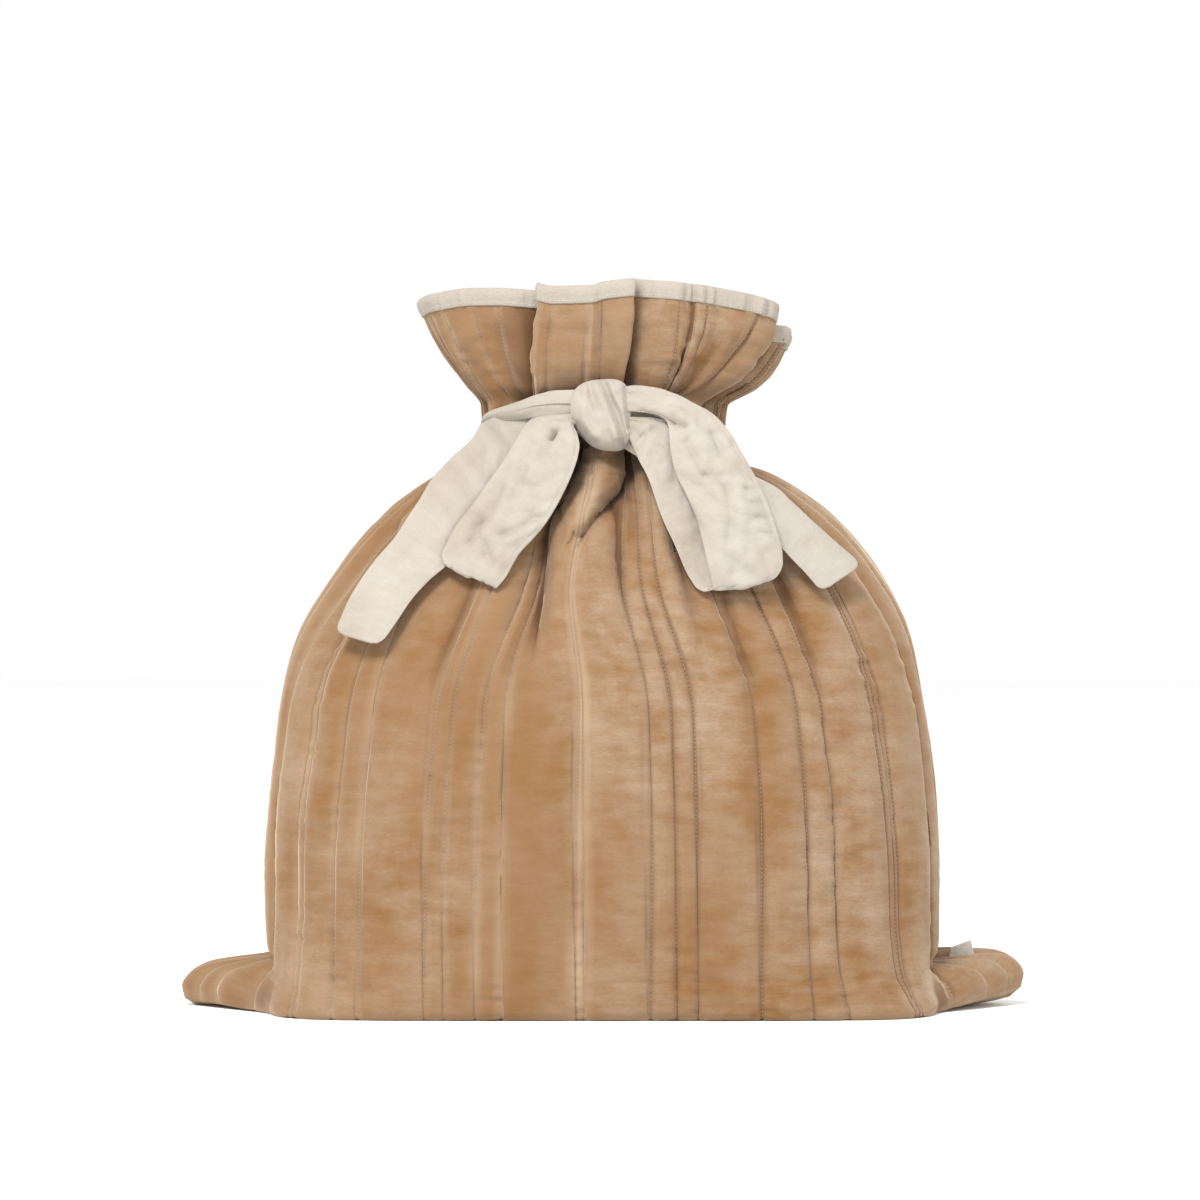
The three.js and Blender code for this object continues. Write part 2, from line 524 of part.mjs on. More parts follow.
// Sweeps a soft strip along its stations and closes it into a thin solid.
const ACROSS_STEPS = 4;
function stripGeometry(stations) {
  const middle = stations.map((station) => {
    const row = [];
    for (let i = 0; i <= ACROSS_STEPS; i += 1) {
      const share = i / ACROSS_STEPS;
      const x = mix(station.ax, station.bx, share);
      const z = mix(station.az, station.bz, share);
      const bow = (station.belly ?? 0) * 4 * share * (1 - share);
      const y = station.y === undefined ? -clothDepth(x, z) - station.lift : station.y;
      row.push(new THREE.Vector3(x, y - bow, z));
    }
    return row;
  });
  const across = new THREE.Vector3();
  const along = new THREE.Vector3();
  const offset = (distance) => middle.map((row, i) => row.map((point, j) => {
    across.subVectors(row[Math.min(j + 1, ACROSS_STEPS)], row[Math.max(j - 1, 0)]);
    along.subVectors(middle[Math.min(i + 1, middle.length - 1)][j], middle[Math.max(i - 1, 0)][j]);
    const normal = across.cross(along).normalize();
    return point.clone().addScaledVector(normal, distance);
  }));
  const sheet = closedSheet('', offset(-TIE_THICKNESS / 2), offset(TIE_THICKNESS / 2), {}, true);
  return sheet.geometry;
}

function toSolid(geometry) {
  const bare = geometry.clone();
  bare.deleteAttribute('normal');
  if (bare.attributes.uv) bare.deleteAttribute('uv');
  const merged = mergeVertices(bare, 1e-4);
  return new wasm.Manifold(new wasm.Mesh({
    numProp: 3,
    vertProperties: Float32Array.from(merged.attributes.position.array),
    triVerts: Uint32Array.from(merged.index.array),
  }));
}

function fromSolid(name, solid, finish) {
  const result = solid.getMesh();
  const geometry = new THREE.BufferGeometry();
  geometry.setAttribute('position', new THREE.BufferAttribute(result.vertProperties, 3));
  geometry.setIndex(new THREE.BufferAttribute(result.triVerts, 1));
  geometry.computeVertexNormals();
  const mesh = new THREE.Mesh(geometry, new THREE.MeshStandardMaterial(finish));
  mesh.name = name;
  return mesh;
}

// The woven tab stands in the seam over the right corner. Its outline is seen from the front.
const LABEL = {
  foot: { left: 246, right: 266.5, z: 34.6 },
  top: { left: 248, right: 262.5, leftZ: 41, rightZ: 46.5 },
  thickness: 1.1,
  curl: 1.6, // its top leans forwards
  bow: 0.5, // and its middle bows out
};
const LABEL_STEPS = [0, 0.25, 0.5, 0.75, 1];
function sideLabel() {
  const { foot, top, thickness, curl, bow } = LABEL;
  const face = (y) => LABEL_STEPS.map((up) => LABEL_STEPS.map((along) => {
    const x = mix(mix(foot.left, foot.right, along), mix(top.left, top.right, along), up);
    const z = mix(foot.z, mix(top.leftZ, top.rightZ, along), up);
    const forwards = curl * up * up + bow * Math.sin(along * Math.PI) * up;
    return new THREE.Vector3(x, y - forwards, z);
  }));
  return closedSheet('side_label', face(-thickness / 2), face(thickness / 2), CREAM_LABEL, false);
}

const sack = new THREE.Group();
const front = makePanel(-1, FRONT_FOLDS, FRONT_STITCHES, 'front');
const back = makePanel(1, BACK_FOLDS, BACK_STITCHES, 'back');
sack.add(closedSheet('front_panel', panelRows(front, false), panelRows(front, true), VELVET, false));
sack.add(closedSheet('back_panel', panelRows(back, false), panelRows(back, true), VELVET, true));
sack.add(bindingRing(front, back));

const tie = new THREE.Group();
tie.add(tieBand());
tie.add(fromSolid('tie_knot', toSolid(knotGeometry(0)), CREAM_VELVET));
const knotRoom = toSolid(knotGeometry(KNOT_GAP));
const strips = {
  tie_loop_left: LOOP_LEFT,
  tie_loop_right: LOOP_RIGHT,
  tie_tail_left: TAIL_LEFT,
  tie_tail_right: TAIL_RIGHT,
};
for (const [name, stations] of Object.entries(strips)) {
  tie.add(fromSolid(name, toSolid(stripGeometry(stations)).subtract(knotRoom), CREAM_VELVET));
}
sack.add(tie);
sack.add(sideLabel());

export default sack;
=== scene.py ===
# %% [markdown]
# # A quilted velvet sack with a tie neck
#
# This notebook dresses a measured model of a soft sack. The real sack is made like a pillowcase from
# two quilted rectangles. Its mouth has a bias binding, and a velvet tie gathers the neck into a bow.
# The measured model is loaded first, because every piece below has to lie where its solid lies.

# %% Load the measured sack
import math
import bmesh
import bpy
import numpy as np
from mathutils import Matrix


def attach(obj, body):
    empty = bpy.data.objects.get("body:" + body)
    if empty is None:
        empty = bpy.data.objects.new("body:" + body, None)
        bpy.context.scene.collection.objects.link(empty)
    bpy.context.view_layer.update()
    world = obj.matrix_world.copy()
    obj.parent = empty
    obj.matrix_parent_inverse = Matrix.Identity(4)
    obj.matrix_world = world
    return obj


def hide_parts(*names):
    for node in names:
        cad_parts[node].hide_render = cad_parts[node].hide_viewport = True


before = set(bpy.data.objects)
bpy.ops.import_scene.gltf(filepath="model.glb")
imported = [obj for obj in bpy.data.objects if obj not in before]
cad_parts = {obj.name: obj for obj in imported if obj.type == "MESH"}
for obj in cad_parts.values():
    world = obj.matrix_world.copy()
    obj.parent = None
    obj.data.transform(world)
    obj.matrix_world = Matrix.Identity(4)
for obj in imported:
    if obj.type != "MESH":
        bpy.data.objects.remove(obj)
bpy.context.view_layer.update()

# %% [markdown]
# ## Camera
#
# A product picture of a soft bag is taken from far away with a long lens, so that its sides stay
# upright. The camera stands 3.35 m in front of the sack, a little above half its height, and looks
# level, which keeps the picture free of converging lines.

# %% Set up the camera
CAMERA_PLACE = (-0.002, -3.35, 0.2886)
LENS_MM, SENSOR_MM = 141.0, 36.0


def placed(name, data):
    """A new object at the origin of the scene."""
    thing = bpy.data.objects.new(name, data)
    bpy.context.scene.collection.objects.link(thing)
    return thing


camera_data = bpy.data.cameras.new("camera")
camera_data.lens, camera_data.sensor_width = LENS_MM, SENSOR_MM
camera = placed("camera", camera_data)
camera.location = CAMERA_PLACE
camera.rotation_euler = (math.radians(90), 0, 0)
bpy.context.scene.camera = camera
print("camera at", CAMERA_PLACE, "with a lens of", LENS_MM, "mm")

# %% [markdown]
# ## Reading tables smoothly
#
# Cloth has no corners along its folds. Each shape below is given by a short table, and a curve that
# never overshoots is drawn through its rows, so that a flat stretch of the table stays flat.

# %% Draw a smooth curve through a table
MM = 0.001


def smooth(places, values, at, flat_ends=False):
    places, values = np.asarray(places, float), np.asarray(values, float)
    step = np.diff(places)
    rise = np.diff(values) / step
    slope = np.zeros_like(values)
    same = rise[:-1] * rise[1:] > 0
    near, far = 2 * step[1:] + step[:-1], step[1:] + 2 * step[:-1]
    safe = np.where(rise == 0, 1, rise)
    both = np.where(same, near / safe[:-1] + far / safe[1:], 1)
    slope[1:-1] = np.where(same, (near + far) / both, 0)
    if not flat_ends:
        slope[0], slope[-1] = rise[0], rise[-1]
    at = np.clip(at, places[0], places[-1])
    i = np.clip(np.searchsorted(places, at) - 1, 0, len(step) - 1)
    t = (at - places[i]) / step[i]
    low = (1 + 2 * t) * (1 - t) ** 2 * values[i] + t * (1 - t) ** 2 * step[i] * slope[i]
    return low + t * t * (3 - 2 * t) * values[i + 1] + t * t * (t - 1) * step[i] * slope[i + 1]


def column_at(table, column, at, flat_ends=False):
    """One column of a table, at these places in its first column."""
    return smooth(table[:, 0], table[:, column], at, flat_ends)


print("halfway up a smooth step:", float(smooth([0, 1, 2, 3], [0, 0, 1, 1], np.array([1.5]))[0]))

# %% Blends, humps and lengths along a path


def ease(value):
    value = np.clip(value, 0, 1)
    return value * value * (3 - 2 * value)


def added_up(steps):
    """How far along each point is, when the steps between the points are given."""
    return np.concatenate([[0], np.cumsum(steps)])


def length_along(path):
    return added_up(np.linalg.norm(np.diff(path, axis=0), axis=-1))


def followed(way, length, at):
    """Points of a path at these lengths."""
    return np.stack([np.interp(at, length, way[:, i]) for i in range(3)], axis=-1)


def hump(value, middle, width):
    """A soft hump round one value, 1 high."""
    return np.exp(-((value - middle) / width) ** 2)


def mix(a, b, share):
    return a + (b - a) * share


print("a quarter of the way, eased:", float(ease(0.25)))

# %% [markdown]
# ## The outline of the sack
#
# The full sack is a rounded loft. Each row of this table is its outline at one height: two half
# widths, two depths and how square the outline is. The last two columns say how deep the folds are
# there, and how far the cloth flares above the tie. The numbers are those of the measured solids, in
# millimetres.

# %% Outline at each height
LEVEL_COLUMNS = ("z", "left", "right", "front", "back", "square", "fold", "flare")
LEVELS = np.array([
    (0, 233, 233, 128, 128, 6, 0, 0),
    (4, 233, 233, 131, 131, 5.5, 0, 0),
    (9, 233, 233, 132, 132, 4.7, 0, 0),
    (16, 233, 233, 133, 133, 4, 0, 0),
    (28, 234, 234, 133, 133, 3.3, 0, 0),
    (52, 237, 237, 133, 133, 2.8, 0, 0),
    (100, 238, 237.5, 134, 134, 2.65, 0, 0),
    (146, 235, 234.5, 134, 133, 2.6, 0, 0),
    (188, 230, 230.5, 131, 130, 2.5, 0, 0),
    (229, 225, 224, 126, 125, 2.45, 0, 0),
    (264, 215, 217, 119, 118, 2.4, 0.05, 0),
    (298, 196, 203, 108, 106, 2.3, 0.14, 0),
    (330, 173, 181, 94, 92, 2.25, 0.32, 0),
    (358, 145, 151, 79, 77, 2.2, 0.56, 0),
    (378, 117, 119, 66, 64, 2.2, 0.82, 0),
    (391, 86, 87, 53, 51, 2.2, 1, 0),
    (409, 86, 87, 53, 51, 2.2, 1, 0),
    (427, 86.5, 88.5, 53, 52, 2.2, 1, 0.08),
    (441, 97, 111, 62, 61, 2.15, 1, 0.35),
    (458, 110, 125, 69, 67, 2.1, 1, 0.58),
    (478, 122, 134, 74, 72, 2.1, 1, 0.8),
    (499, 131, 134, 78, 76, 2.1, 1, 0.97),
    (510, 133, 134, 79, 77, 2.1, 1, 1),
])
NECK_TOP, RIM = 409, 510


def level_at(z):
    return {name: float(column_at(LEVELS, i, np.array([float(z)]))[0])
            for i, name in enumerate(LEVEL_COLUMNS)}


def depth_of(level, facing):
    """The front or the back depth of an outline. The front faces -1 and the back 1."""
    return level["front" if facing < 0 else "back"]


print("outline at 100 mm:", level_at(100))

# %% [markdown]
# ## Folds of the gathered neck
#
# Pulled together by the tie, the cloth stands in crests with valleys between them. Each row is one
# crest or valley. It says where that cloth lies on the shoulder of the sack, just under the tie, just
# over it and at the rim, how deep it lies, and how high the rim stands. Where two rows swap their
# order along the outline, a crest overlaps its neighbour, as a real pleat does.

# %% Crests and valleys, front and back
FOLD_COLUMNS = (
    "cloth", "shoulder", "neck", "throat", "rim", "neck_depth", "throat_depth", "rim_depth", "height",
)
FRONT_FOLDS = np.array([
    (-310, -1, -1, -1, -1, 0, 0, 0, 500),
    (-262, -0.79, -0.88, -0.9, -0.885, 14, 8, 2, 502),
    (-223, -0.682, -0.77, -0.786, -0.76, 0, 0, 0, 503),
    (-190, -0.601, -0.68, -0.64, -0.58, 2, 5, 3, 505.5),
    (-170, -0.543, -0.62, -0.575, -0.475, 8, 13, 9, 505.5),
    (-140, -0.414, -0.53, -0.43, -0.205, 18, 21, 16, 502),
    (-126, -0.354, -0.48, -0.465, -0.267, 4, 3, 1, 508),
    (-109, -0.309, -0.42, -0.36, -0.205, 0, 0, 0, 505.5),
    (-87, -0.22, -0.32, -0.134, -0.05, 2, 0, 0, 506),
    (-70, -0.184, -0.25, -0.03, 0, 8, 5, 3, 508.5),
    (-48, -0.15, -0.16, 0.08, 0.128, 16, 0, 0, 511),
    (-30, -0.122, -0.1, 0.03, 0.112, 8, 14, 8, 511),
    (-10, -0.082, -0.02, 0.09, 0.135, 0, 21, 12, 511),
    (10, -0.02, 0.06, 0.19, 0.205, 4, 11, 7, 510),
    (33, 0.048, 0.15, 0.315, 0.315, 12, 1, 1, 508.5),
    (44, 0.082, 0.18, 0.336, 0.378, 14, 12, 5, 507.5),
    (55, 0.114, 0.22, 0.352, 0.405, 8, 2, 1, 507),
    (80, 0.189, 0.31, 0.39, 0.52, 0, 6, 3, 504.5),
    (109, 0.286, 0.42, 0.44, 0.682, 3, 0, 0, 500),
    (130, 0.357, 0.48, 0.62, 0.8, 12, 2, 1, 495),
    (150, 0.431, 0.55, 0.56, 0.735, 17, 20, 19, 489),
    (175, 0.528, 0.63, 0.62, 0.8, 8, 28, 30, 485),
    (195, 0.598, 0.69, 0.74, 0.875, 0, 8, 9, 482),
    (215, 0.66, 0.745, 0.8, 0.915, 3, 0, 1, 481),
    (262, 0.807, 0.87, 0.9, 0.965, 14, 10, 4, 479),
    (310, 1, 1, 1, 1, 0, 0, 0, 476),
])
BACK_FOLDS = np.array([
    (-310, -1, -1, -1, -1, 0, 0, 0, 500),
    (-268, -0.865, -0.89, -0.89, -0.9, 18, 18, 14, 498),
    (-225, -0.726, -0.78, -0.78, -0.8, 0, 0, 0, 501),
    (-180, -0.581, -0.66, -0.66, -0.66, 0, 0, 0, 504),
    (-150, -0.484, -0.56, -0.56, -0.57, 19, 20, 24, 501),
    (-120, -0.387, -0.46, -0.46, -0.48, 0, 0, 0, 505),
    (-62, -0.2, -0.24, -0.24, -0.24, 0, 0, 0, 506),
    (-38, -0.123, -0.14, -0.14, -0.15, 20, 22, 26, 502),
    (-12, -0.039, -0.04, -0.04, -0.06, 0, 0, 0, 506),
    (38, 0.123, 0.14, 0.14, 0.17, 0, 0, 0, 506),
    (64, 0.206, 0.24, 0.24, 0.26, 19, 20, 24, 502),
    (92, 0.297, 0.34, 0.34, 0.35, 0, 0, 0, 504),
    (142, 0.458, 0.52, 0.52, 0.56, 0, 0, 0, 501),
    (172, 0.555, 0.62, 0.62, 0.65, 18, 20, 22, 494),
    (204, 0.658, 0.73, 0.73, 0.74, 0, 0, 0, 489),
    (255, 0.823, 0.87, 0.87, 0.88, 18, 18, 14, 482),
    (310, 1, 1, 1, 1, 0, 0, 0, 476),
])


def fold_column(folds, name, s):
    flat_ends = name.endswith("depth") or name == "height"
    return column_at(folds, FOLD_COLUMNS.index(name), s, flat_ends)


print(len(FRONT_FOLDS), "crests and valleys in front,", len(BACK_FOLDS), "behind")

# %% [markdown]
# ## Single creases
#
# Some folds die out in the middle of the cloth. They can't be rows of the table, so each is a soft
# trough along a line, seen from the front and written from its top down. Its two sides fall away at
# their own rate, because a fold is steep on one side. A negative depth makes a ridge. The main one is
# the heavy roll that comes out from under the knot and sweeps down to the left, with a deep gap
# beside it.

# %% Troughs and ridges on the body
FRONT_CREASES = (  # depth, width on the left, width on the right, places as x and z
    (19, 3.4, 10, ((18, 400), (17.5, 381), (11, 367), (3, 358))),
    (7, 2.6, 6, ((3, 358), (-4, 350), (-11, 340), (-15, 333))),
    (4.5, 3.5, 5, ((7, 358), (8, 335), (10, 308), (13, 285))),
    (-11, 13, 8, ((3, 400), (0, 384), (-6, 369), (-13, 354), (-18, 343))),
    (17, 8, 6, ((-19, 400), (-17, 384), (-21, 366), (-30, 350))),
    (20, 15, 4.5, ((-37, 352), (-39, 325), (-40, 300), (-41, 278))),
    (4, 9, 6, ((-56, 300), (-61, 270), (-66, 245))),
    (-3.5, 12, 12, ((-25, 325), (-25, 290), (-22, 255))),
    (-4, 8, 8, ((28, 390), (34, 360), (38, 330))),
    (5, 5, 9, ((46, 335), (56, 300), (62, 270))),
    (6, 6, 11, ((80, 305), (90, 270), (101, 238))),
    (5, 6, 10, ((116, 325), (133, 285), (146, 248))),
    (5, 9, 6, ((-92, 295), (-105, 265), (-117, 238))),
    (5, 9, 6, ((-148, 335), (-173, 292), (-190, 258))),
    (2.6, 6, 9, ((-203, 44), (-196, 30), (-178, 22))),
    (2.2, 8, 8, ((150, 44), (180, 36), (196, 22))),
)


def trough(x, z, lines):
    depth = np.zeros(np.broadcast(x, z).shape)
    for most, left, right, places in lines:
        nearest = np.full(depth.shape, 1e9)
        side = np.zeros(depth.shape)
        for (ax, az), (bx, bz) in zip(places[:-1], places[1:]):
            dx, dz = bx - ax, bz - az
            t = np.clip(((x - ax) * dx + (z - az) * dz) / (dx * dx + dz * dz), 0, 1)
            away = np.hypot(x - ax - t * dx, z - az - t * dz)
            side = np.where(away < nearest, dx * (z - az) - dz * (x - ax), side)
            nearest = np.minimum(nearest, away)
        depth = depth + most * np.exp(-(nearest / np.where(side < 0, left, right)) ** 2)
    return depth


print("depth of the gap beside the roll:", trough(np.array([12.0]), 369.0, FRONT_CREASES).round(1), "mm")

# %% [markdown]
# ## Quilting lines
#
# Each panel was quilted flat, in upright lines whose distances vary on purpose. A place on the cloth
# is given by its distance from the middle of the panel. Some lines are doubled or tripled. Every line
# wanders by a millimetre or so, because it is guided by hand.

# %% Places of the quilting lines
CLOTH_HALF = 310
FRONT_LINES = (
    -297, -284, -257, -223, -218, -190, -170, -122, -109, -87, -70, -18, -13.5, 33, 50, 65, 109, 142, 162,
    204.5, 208.7, 213, 258, 284, 299,
)
BACK_LINES = (
    -296, -283, -262, -236, -201, -196, -166, -150, -113, -94, -55, -38, 12, 16.5, 38, 64, 98, 131, 150,
    187, 222, 226, 255, 279, 292,
)
FACE_WIDTH = 2.35  # between two lines, in millimetres
PULLED_TO_LINES = 0.11  # how much closer the faces are beside a line
WANDER = 0.7


def columns_of(lines):
    edges = (-CLOTH_HALF, *lines, CLOTH_HALF)
    places, on_line = [], []
    for low, high in zip(edges[:-1], edges[1:]):
        parts = max(3, round((high - low) / FACE_WIDTH))
        share = np.arange(parts) / parts
        share = share - PULLED_TO_LINES * np.sin(2 * math.pi * share)
        on_line.append(len(places))
        places.extend(low + (high - low) * share)
    places.append(CLOTH_HALF)
    return np.array(places), on_line[1:]


def wander(s, height, seed):
    """How far the cloth's lines wander sideways, in millimetres."""
    calm = np.clip((CLOTH_HALF - np.abs(s)) / 20, 0, 1)
    wave = np.sin(height / 61 + s * 0.9 + seed) + 0.6 * np.sin(height / 27 + s * 2.3 + 2 * seed)
    return WANDER * wave * calm


print("columns of faces:", len(columns_of(FRONT_LINES)[0]), "and", len(columns_of(BACK_LINES)[0]))

# %% [markdown]
# ## Soft unevenness
#
# Wadding never lies even, and stitching puckers the cloth. Both come from small fields of seeded
# random heights, smoothed between their knots. Wide knots across the panel and close ones up it give
# the short sideways puckers that quilted velvet shows. The lie of the pile uses such fields too.

# %% A field of seeded random heights


def uneven(across, along, wide, tall, seed):
    knots = np.random.default_rng(seed).uniform(-1, 1, (64, 64))
    u, v = across / wide + 31.3, along / tall + 17.7
    i, j = np.floor(u).astype(int), np.floor(v).astype(int)
    a, b = ease(u - i), ease(v - j)
    low = mix(knots[i % 64, j % 64], knots[(i + 1) % 64, j % 64], a)
    high = mix(knots[i % 64, (j + 1) % 64], knots[(i + 1) % 64, (j + 1) % 64], a)
    return mix(low, high, b)


UNEVEN = {  # strength, knots apart across and along the panel in millimetres, draw
    "fullness": (0.25, 20, 70, 5),
    "wadding": (1.5, 34, 60, 10),
    "pucker patches": (0.9, 30, 48, 20),
    "puckers": (1.25, 17, 5.2, 30),
    "fine puckers": (0.5, 9, 3.4, 40),
    "neck creases": (1.6, 9, 20, 50),
    "brushing": (0.5, 45, 150, 60),
    "raised pile": (0.5, 20, 45, 70),
}


def layer(panel, name, across, along):
    strength, wide, tall, draw = UNEVEN[name]
    return strength * uneven(across, along, wide, tall, panel["seed"] + draw)


print("heights at three places:", uneven(np.array([0.0, 9, 18]), np.zeros(3), 12, 5, 3).round(2))

# %% [markdown]
# ## The cloth as a surface
#
# A panel is a grid of points. Its rows run from the bottom seam, forwards along the floor, up the
# wall, through the neck and out to the rim. One function gives the points of a row at one height. It
# walks along the outline, goes inwards where a fold lies deep, and reaches out into the two bottom
# corners, whose seam rises into a soft ridge. A cloth simulation could fold the sack too, but its
# folds would lie anywhere, and these have to lie where the measured ones are.

# %% Walk along an outline
ANGLES = np.linspace(0, math.pi / 2, 241)


def quarter(width, depth, square):
    x = width * np.sin(ANGLES) ** (2 / square)
    y = depth * np.maximum(np.cos(ANGLES), 0) ** (2 / square)
    y[-1] = 0
    return x, y, added_up(np.hypot(np.diff(x), np.diff(y)))


def outline(width, depth, square, share):
    x, y, length = quarter(width, depth, square)
    at = np.clip(share, 0, 1) * length[-1]
    px, py = np.interp(at, length, x), np.interp(at, length, y)
    nx, ny = (px / width) ** (square - 1) / width, (py / depth) ** (square - 1) / depth
    size = np.hypot(nx, ny)
    return px, py, nx / size, ny / size


halfway = outline(238, 134, 2.65, np.array([0.5]))
print("halfway from the front to the side:", [round(float(value[0]), 1) for value in halfway])

# %% The two bottom corners
EAR_PULL, EAR_START, RIDGE_START = 65, 245, 240
RIDGE_POWER = 1.2
SEAM_HALF_LENGTH, SEAM_GAP = 290, 0.15
CORNER_COLUMNS = ("z", "pull", "ridge_left", "ridge_right", "roll")
CORNERS = np.array([
    (0, 1, 5, 13, 0),
    (4, 1.03, 14, 23, 0.35),
    (9, 0.94, 23.5, 32, 0.8),
    (15, 0.74, 30, 37, 1),
    (22, 0.38, 33, 35, 1),
    (29, 0.05, 34.5, 32, 0.8),
    (40, 0, 42, 43, 0.3),
    (52, 0, 52, 52, 0),
])
ROLLS = {-1: (4, 1), 1: (5, 9)}  # height of the left and right roll, in front and behind
TUCK, TUCK_HEIGHT, TUCK_REACH = 4, 32, 6  # the wall goes in just above a corner
TUCK_FADES = 30
RIGHT_LIFT, LIFT_START = 6, 275  # the tip of the right corner is off the floor


def corner_at(name, z):
    at = np.array([float(min(z, CORNERS[-1, 0]))])
    return float(column_at(CORNERS, CORNER_COLUMNS.index(name), at)[0])


def floor_lift(s):
    return RIGHT_LIFT * np.clip((s - LIFT_START) / (CLOTH_HALF - LIFT_START), 0, 1) ** 1.5


def corner_height(facing, s, z):
    towards_seam = np.clip((np.abs(s) - RIDGE_START) / (CLOTH_HALF - RIDGE_START), 0, 1)
    ridge = np.where(s < 0, corner_at("ridge_left", z), corner_at("ridge_right", z))
    most = np.where(s < 0, *ROLLS[facing])
    roll = most * np.sin(math.pi * towards_seam) * corner_at("roll", z)
    return mix(z, ridge, towards_seam ** RIDGE_POWER) + roll


def tuck(s, z):
    near = hump(z, TUCK_HEIGHT, TUCK_REACH)
    return TUCK * near * ease((np.abs(s) - EAR_START) / TUCK_FADES)


print("ridge of the right corner at the floor:", corner_at("ridge_right", 0), "mm")

# %% How the lines run up a panel
KINK, SHOULDER, NECK_BOTTOM = 228, 297, 391
SIDE_POWER = 1.6
UPRIGHT_TOP = 60
UPRIGHT_LEFT, UPRIGHT_RIGHT = (200, 262), (110, 200)  # fully upright up to, free from


def even_place(s, z, facing):
    """The share of the outline. Near the floor the lines hang upright, so x decides."""
    even = s / CLOTH_HALF
    if z >= UPRIGHT_TOP:
        return even
    above, here = level_at(UPRIGHT_TOP), level_at(z)
    x = outline(above["left"], depth_of(above, facing), above["square"], np.abs(even))[0]
    trial = np.linspace(0, 1, 400)
    reached = outline(here["left"], depth_of(here, facing), here["square"], trial)[0]
    upright = np.interp(x, reached, trial) * np.sign(s)
    (near_left, far_left), (near_right, far_right) = UPRIGHT_LEFT, UPRIGHT_RIGHT
    share = 1 - np.where(s < 0, ease((-s - near_left) / (far_left - near_left)),
                         ease((s - near_right) / (far_right - near_right)))
    return mix(even, upright, share)


def reach_at(z, facing, s):
    """How long the outline is from its front or back middle to the side seam."""
    level = level_at(z)
    left, right = (quarter(level[name], depth_of(level, facing), level["square"])[2][-1]
                   for name in ("left", "right"))
    return np.where(s < 0, left, right)


def straight_place(panel, s, z, low, high, low_place, high_place):
    """The lines run straight between two heights, except close to the side seams."""
    rise = (z - low) / (high - low)
    low_reach, high_reach, reach = (reach_at(h, panel["facing"], s) for h in (low, high, z))
    straight = mix(low_place * low_reach, high_place * high_reach, rise)
    bulge = reach - mix(low_reach, high_reach, rise)
    return (straight + bulge * s / CLOTH_HALF * np.abs(s / CLOTH_HALF) ** SIDE_POWER) / reach


def past_tie(z):
    """0 below the tie and 1 above it."""
    return float(ease((z - NECK_BOTTOM) / (NECK_TOP - NECK_BOTTOM)))


def place_of(panel, s, z, level):
    folds = panel["folds"]
    even, shoulder, neck = (even_place(s, z, panel["facing"]), fold_column(folds, "shoulder", s),
                            fold_column(folds, "neck", s))
    if z < KINK:
        return even
    if z < SHOULDER:
        return straight_place(panel, s, z, KINK, SHOULDER, even, shoulder)
    if z < NECK_BOTTOM:
        return straight_place(panel, s, z, SHOULDER, NECK_BOTTOM, shoulder, neck)
    place = mix(neck, fold_column(folds, "throat", s), past_tie(z))
    return mix(place, fold_column(folds, "rim", s), level["flare"])


print("from the middle to the side seam at 100 mm:", reach_at(100, -1, np.array([1.0])).round(1), "mm")

# %% One row of the cloth, at one height


def cloth_row(panel, s, z):
    """Points of a panel, in millimetres, at one height of the outline."""
    level = level_at(min(z, RIM))
    folds, facing = panel["folds"], panel["facing"]
    place = place_of(panel, s, z, level)
    depth = mix(fold_column(folds, "neck_depth", s), fold_column(folds, "throat_depth", s), past_tie(z))
    depth = mix(depth * level["fold"], fold_column(folds, "rim_depth", s), level["flare"])
    side = [outline(level[name], depth_of(level, facing), level["square"], np.abs(place))
            for name in ("left", "right")]
    px, py, nx, ny = [np.where(place < 0, a, b) for a, b in zip(*side)]
    hand = np.where(place < 0, -1, 1)
    if z > NECK_TOP:
        own = fold_column(folds, "height", s)
        height = NECK_TOP + (z - NECK_TOP) * (own - NECK_TOP) / (RIM - NECK_TOP)
        slimmer = np.where(place < 0, *(column_at(LEVELS, LEVEL_COLUMNS.index(name), height) / level[name]
                                        for name in ("left", "right")))
        px, py = px * slimmer, py * slimmer
    inwards = depth + trough(hand * px, z, panel["creases"]) + tuck(s, z)
    reach = np.clip((np.abs(s) - EAR_START) / (CLOTH_HALF - EAR_START), 0, 1)
    x = hand * (px - nx * inwards) + np.sign(s) * EAR_PULL * corner_at("pull", z) * reach
    y = facing * (SEAM_GAP + np.maximum(0, py - ny * inwards))
    if z < CORNERS[-1, 0]:
        height = corner_height(facing, s, z)
    elif z <= NECK_TOP:
        height = np.full_like(s, z)
    return np.stack([x, y, height], axis=-1)


def floor_row(panel, s, share):
    """A row of the underside, from the bottom seam to the edge on the floor."""
    edge = cloth_row(panel, s, 0)
    seam = np.stack([s / CLOTH_HALF * SEAM_HALF_LENGTH, np.full_like(s, panel["facing"] * SEAM_GAP),
                     floor_lift(s)], axis=-1)
    return mix(seam, edge, share)


FRONT = {"facing": -1, "folds": FRONT_FOLDS, "lines": FRONT_LINES, "creases": FRONT_CREASES, "seed": 1}
BACK = {"facing": 1, "folds": BACK_FOLDS, "lines": BACK_LINES, "creases": (), "seed": 2}
print("middle of the front at 100 mm:", cloth_row(FRONT, np.array([0.0]), 100.0).round(1))

# %% [markdown]
# ## Rows from the floor to the rim
#
# The rows are spaced evenly along the cloth and not by height, so the faces stay square where the
# wall leans. They lie closer in the bottom corners, which are small and round. The underside needs
# only a few rows, because nobody sees it.

# %% Space the rows along the cloth
FLOOR_ROWS, WALL_ROWS = 10, 292
CLOSE_BELOW, CLOSER = 32, 2.6  # rows are that many times closer in the bottom corners


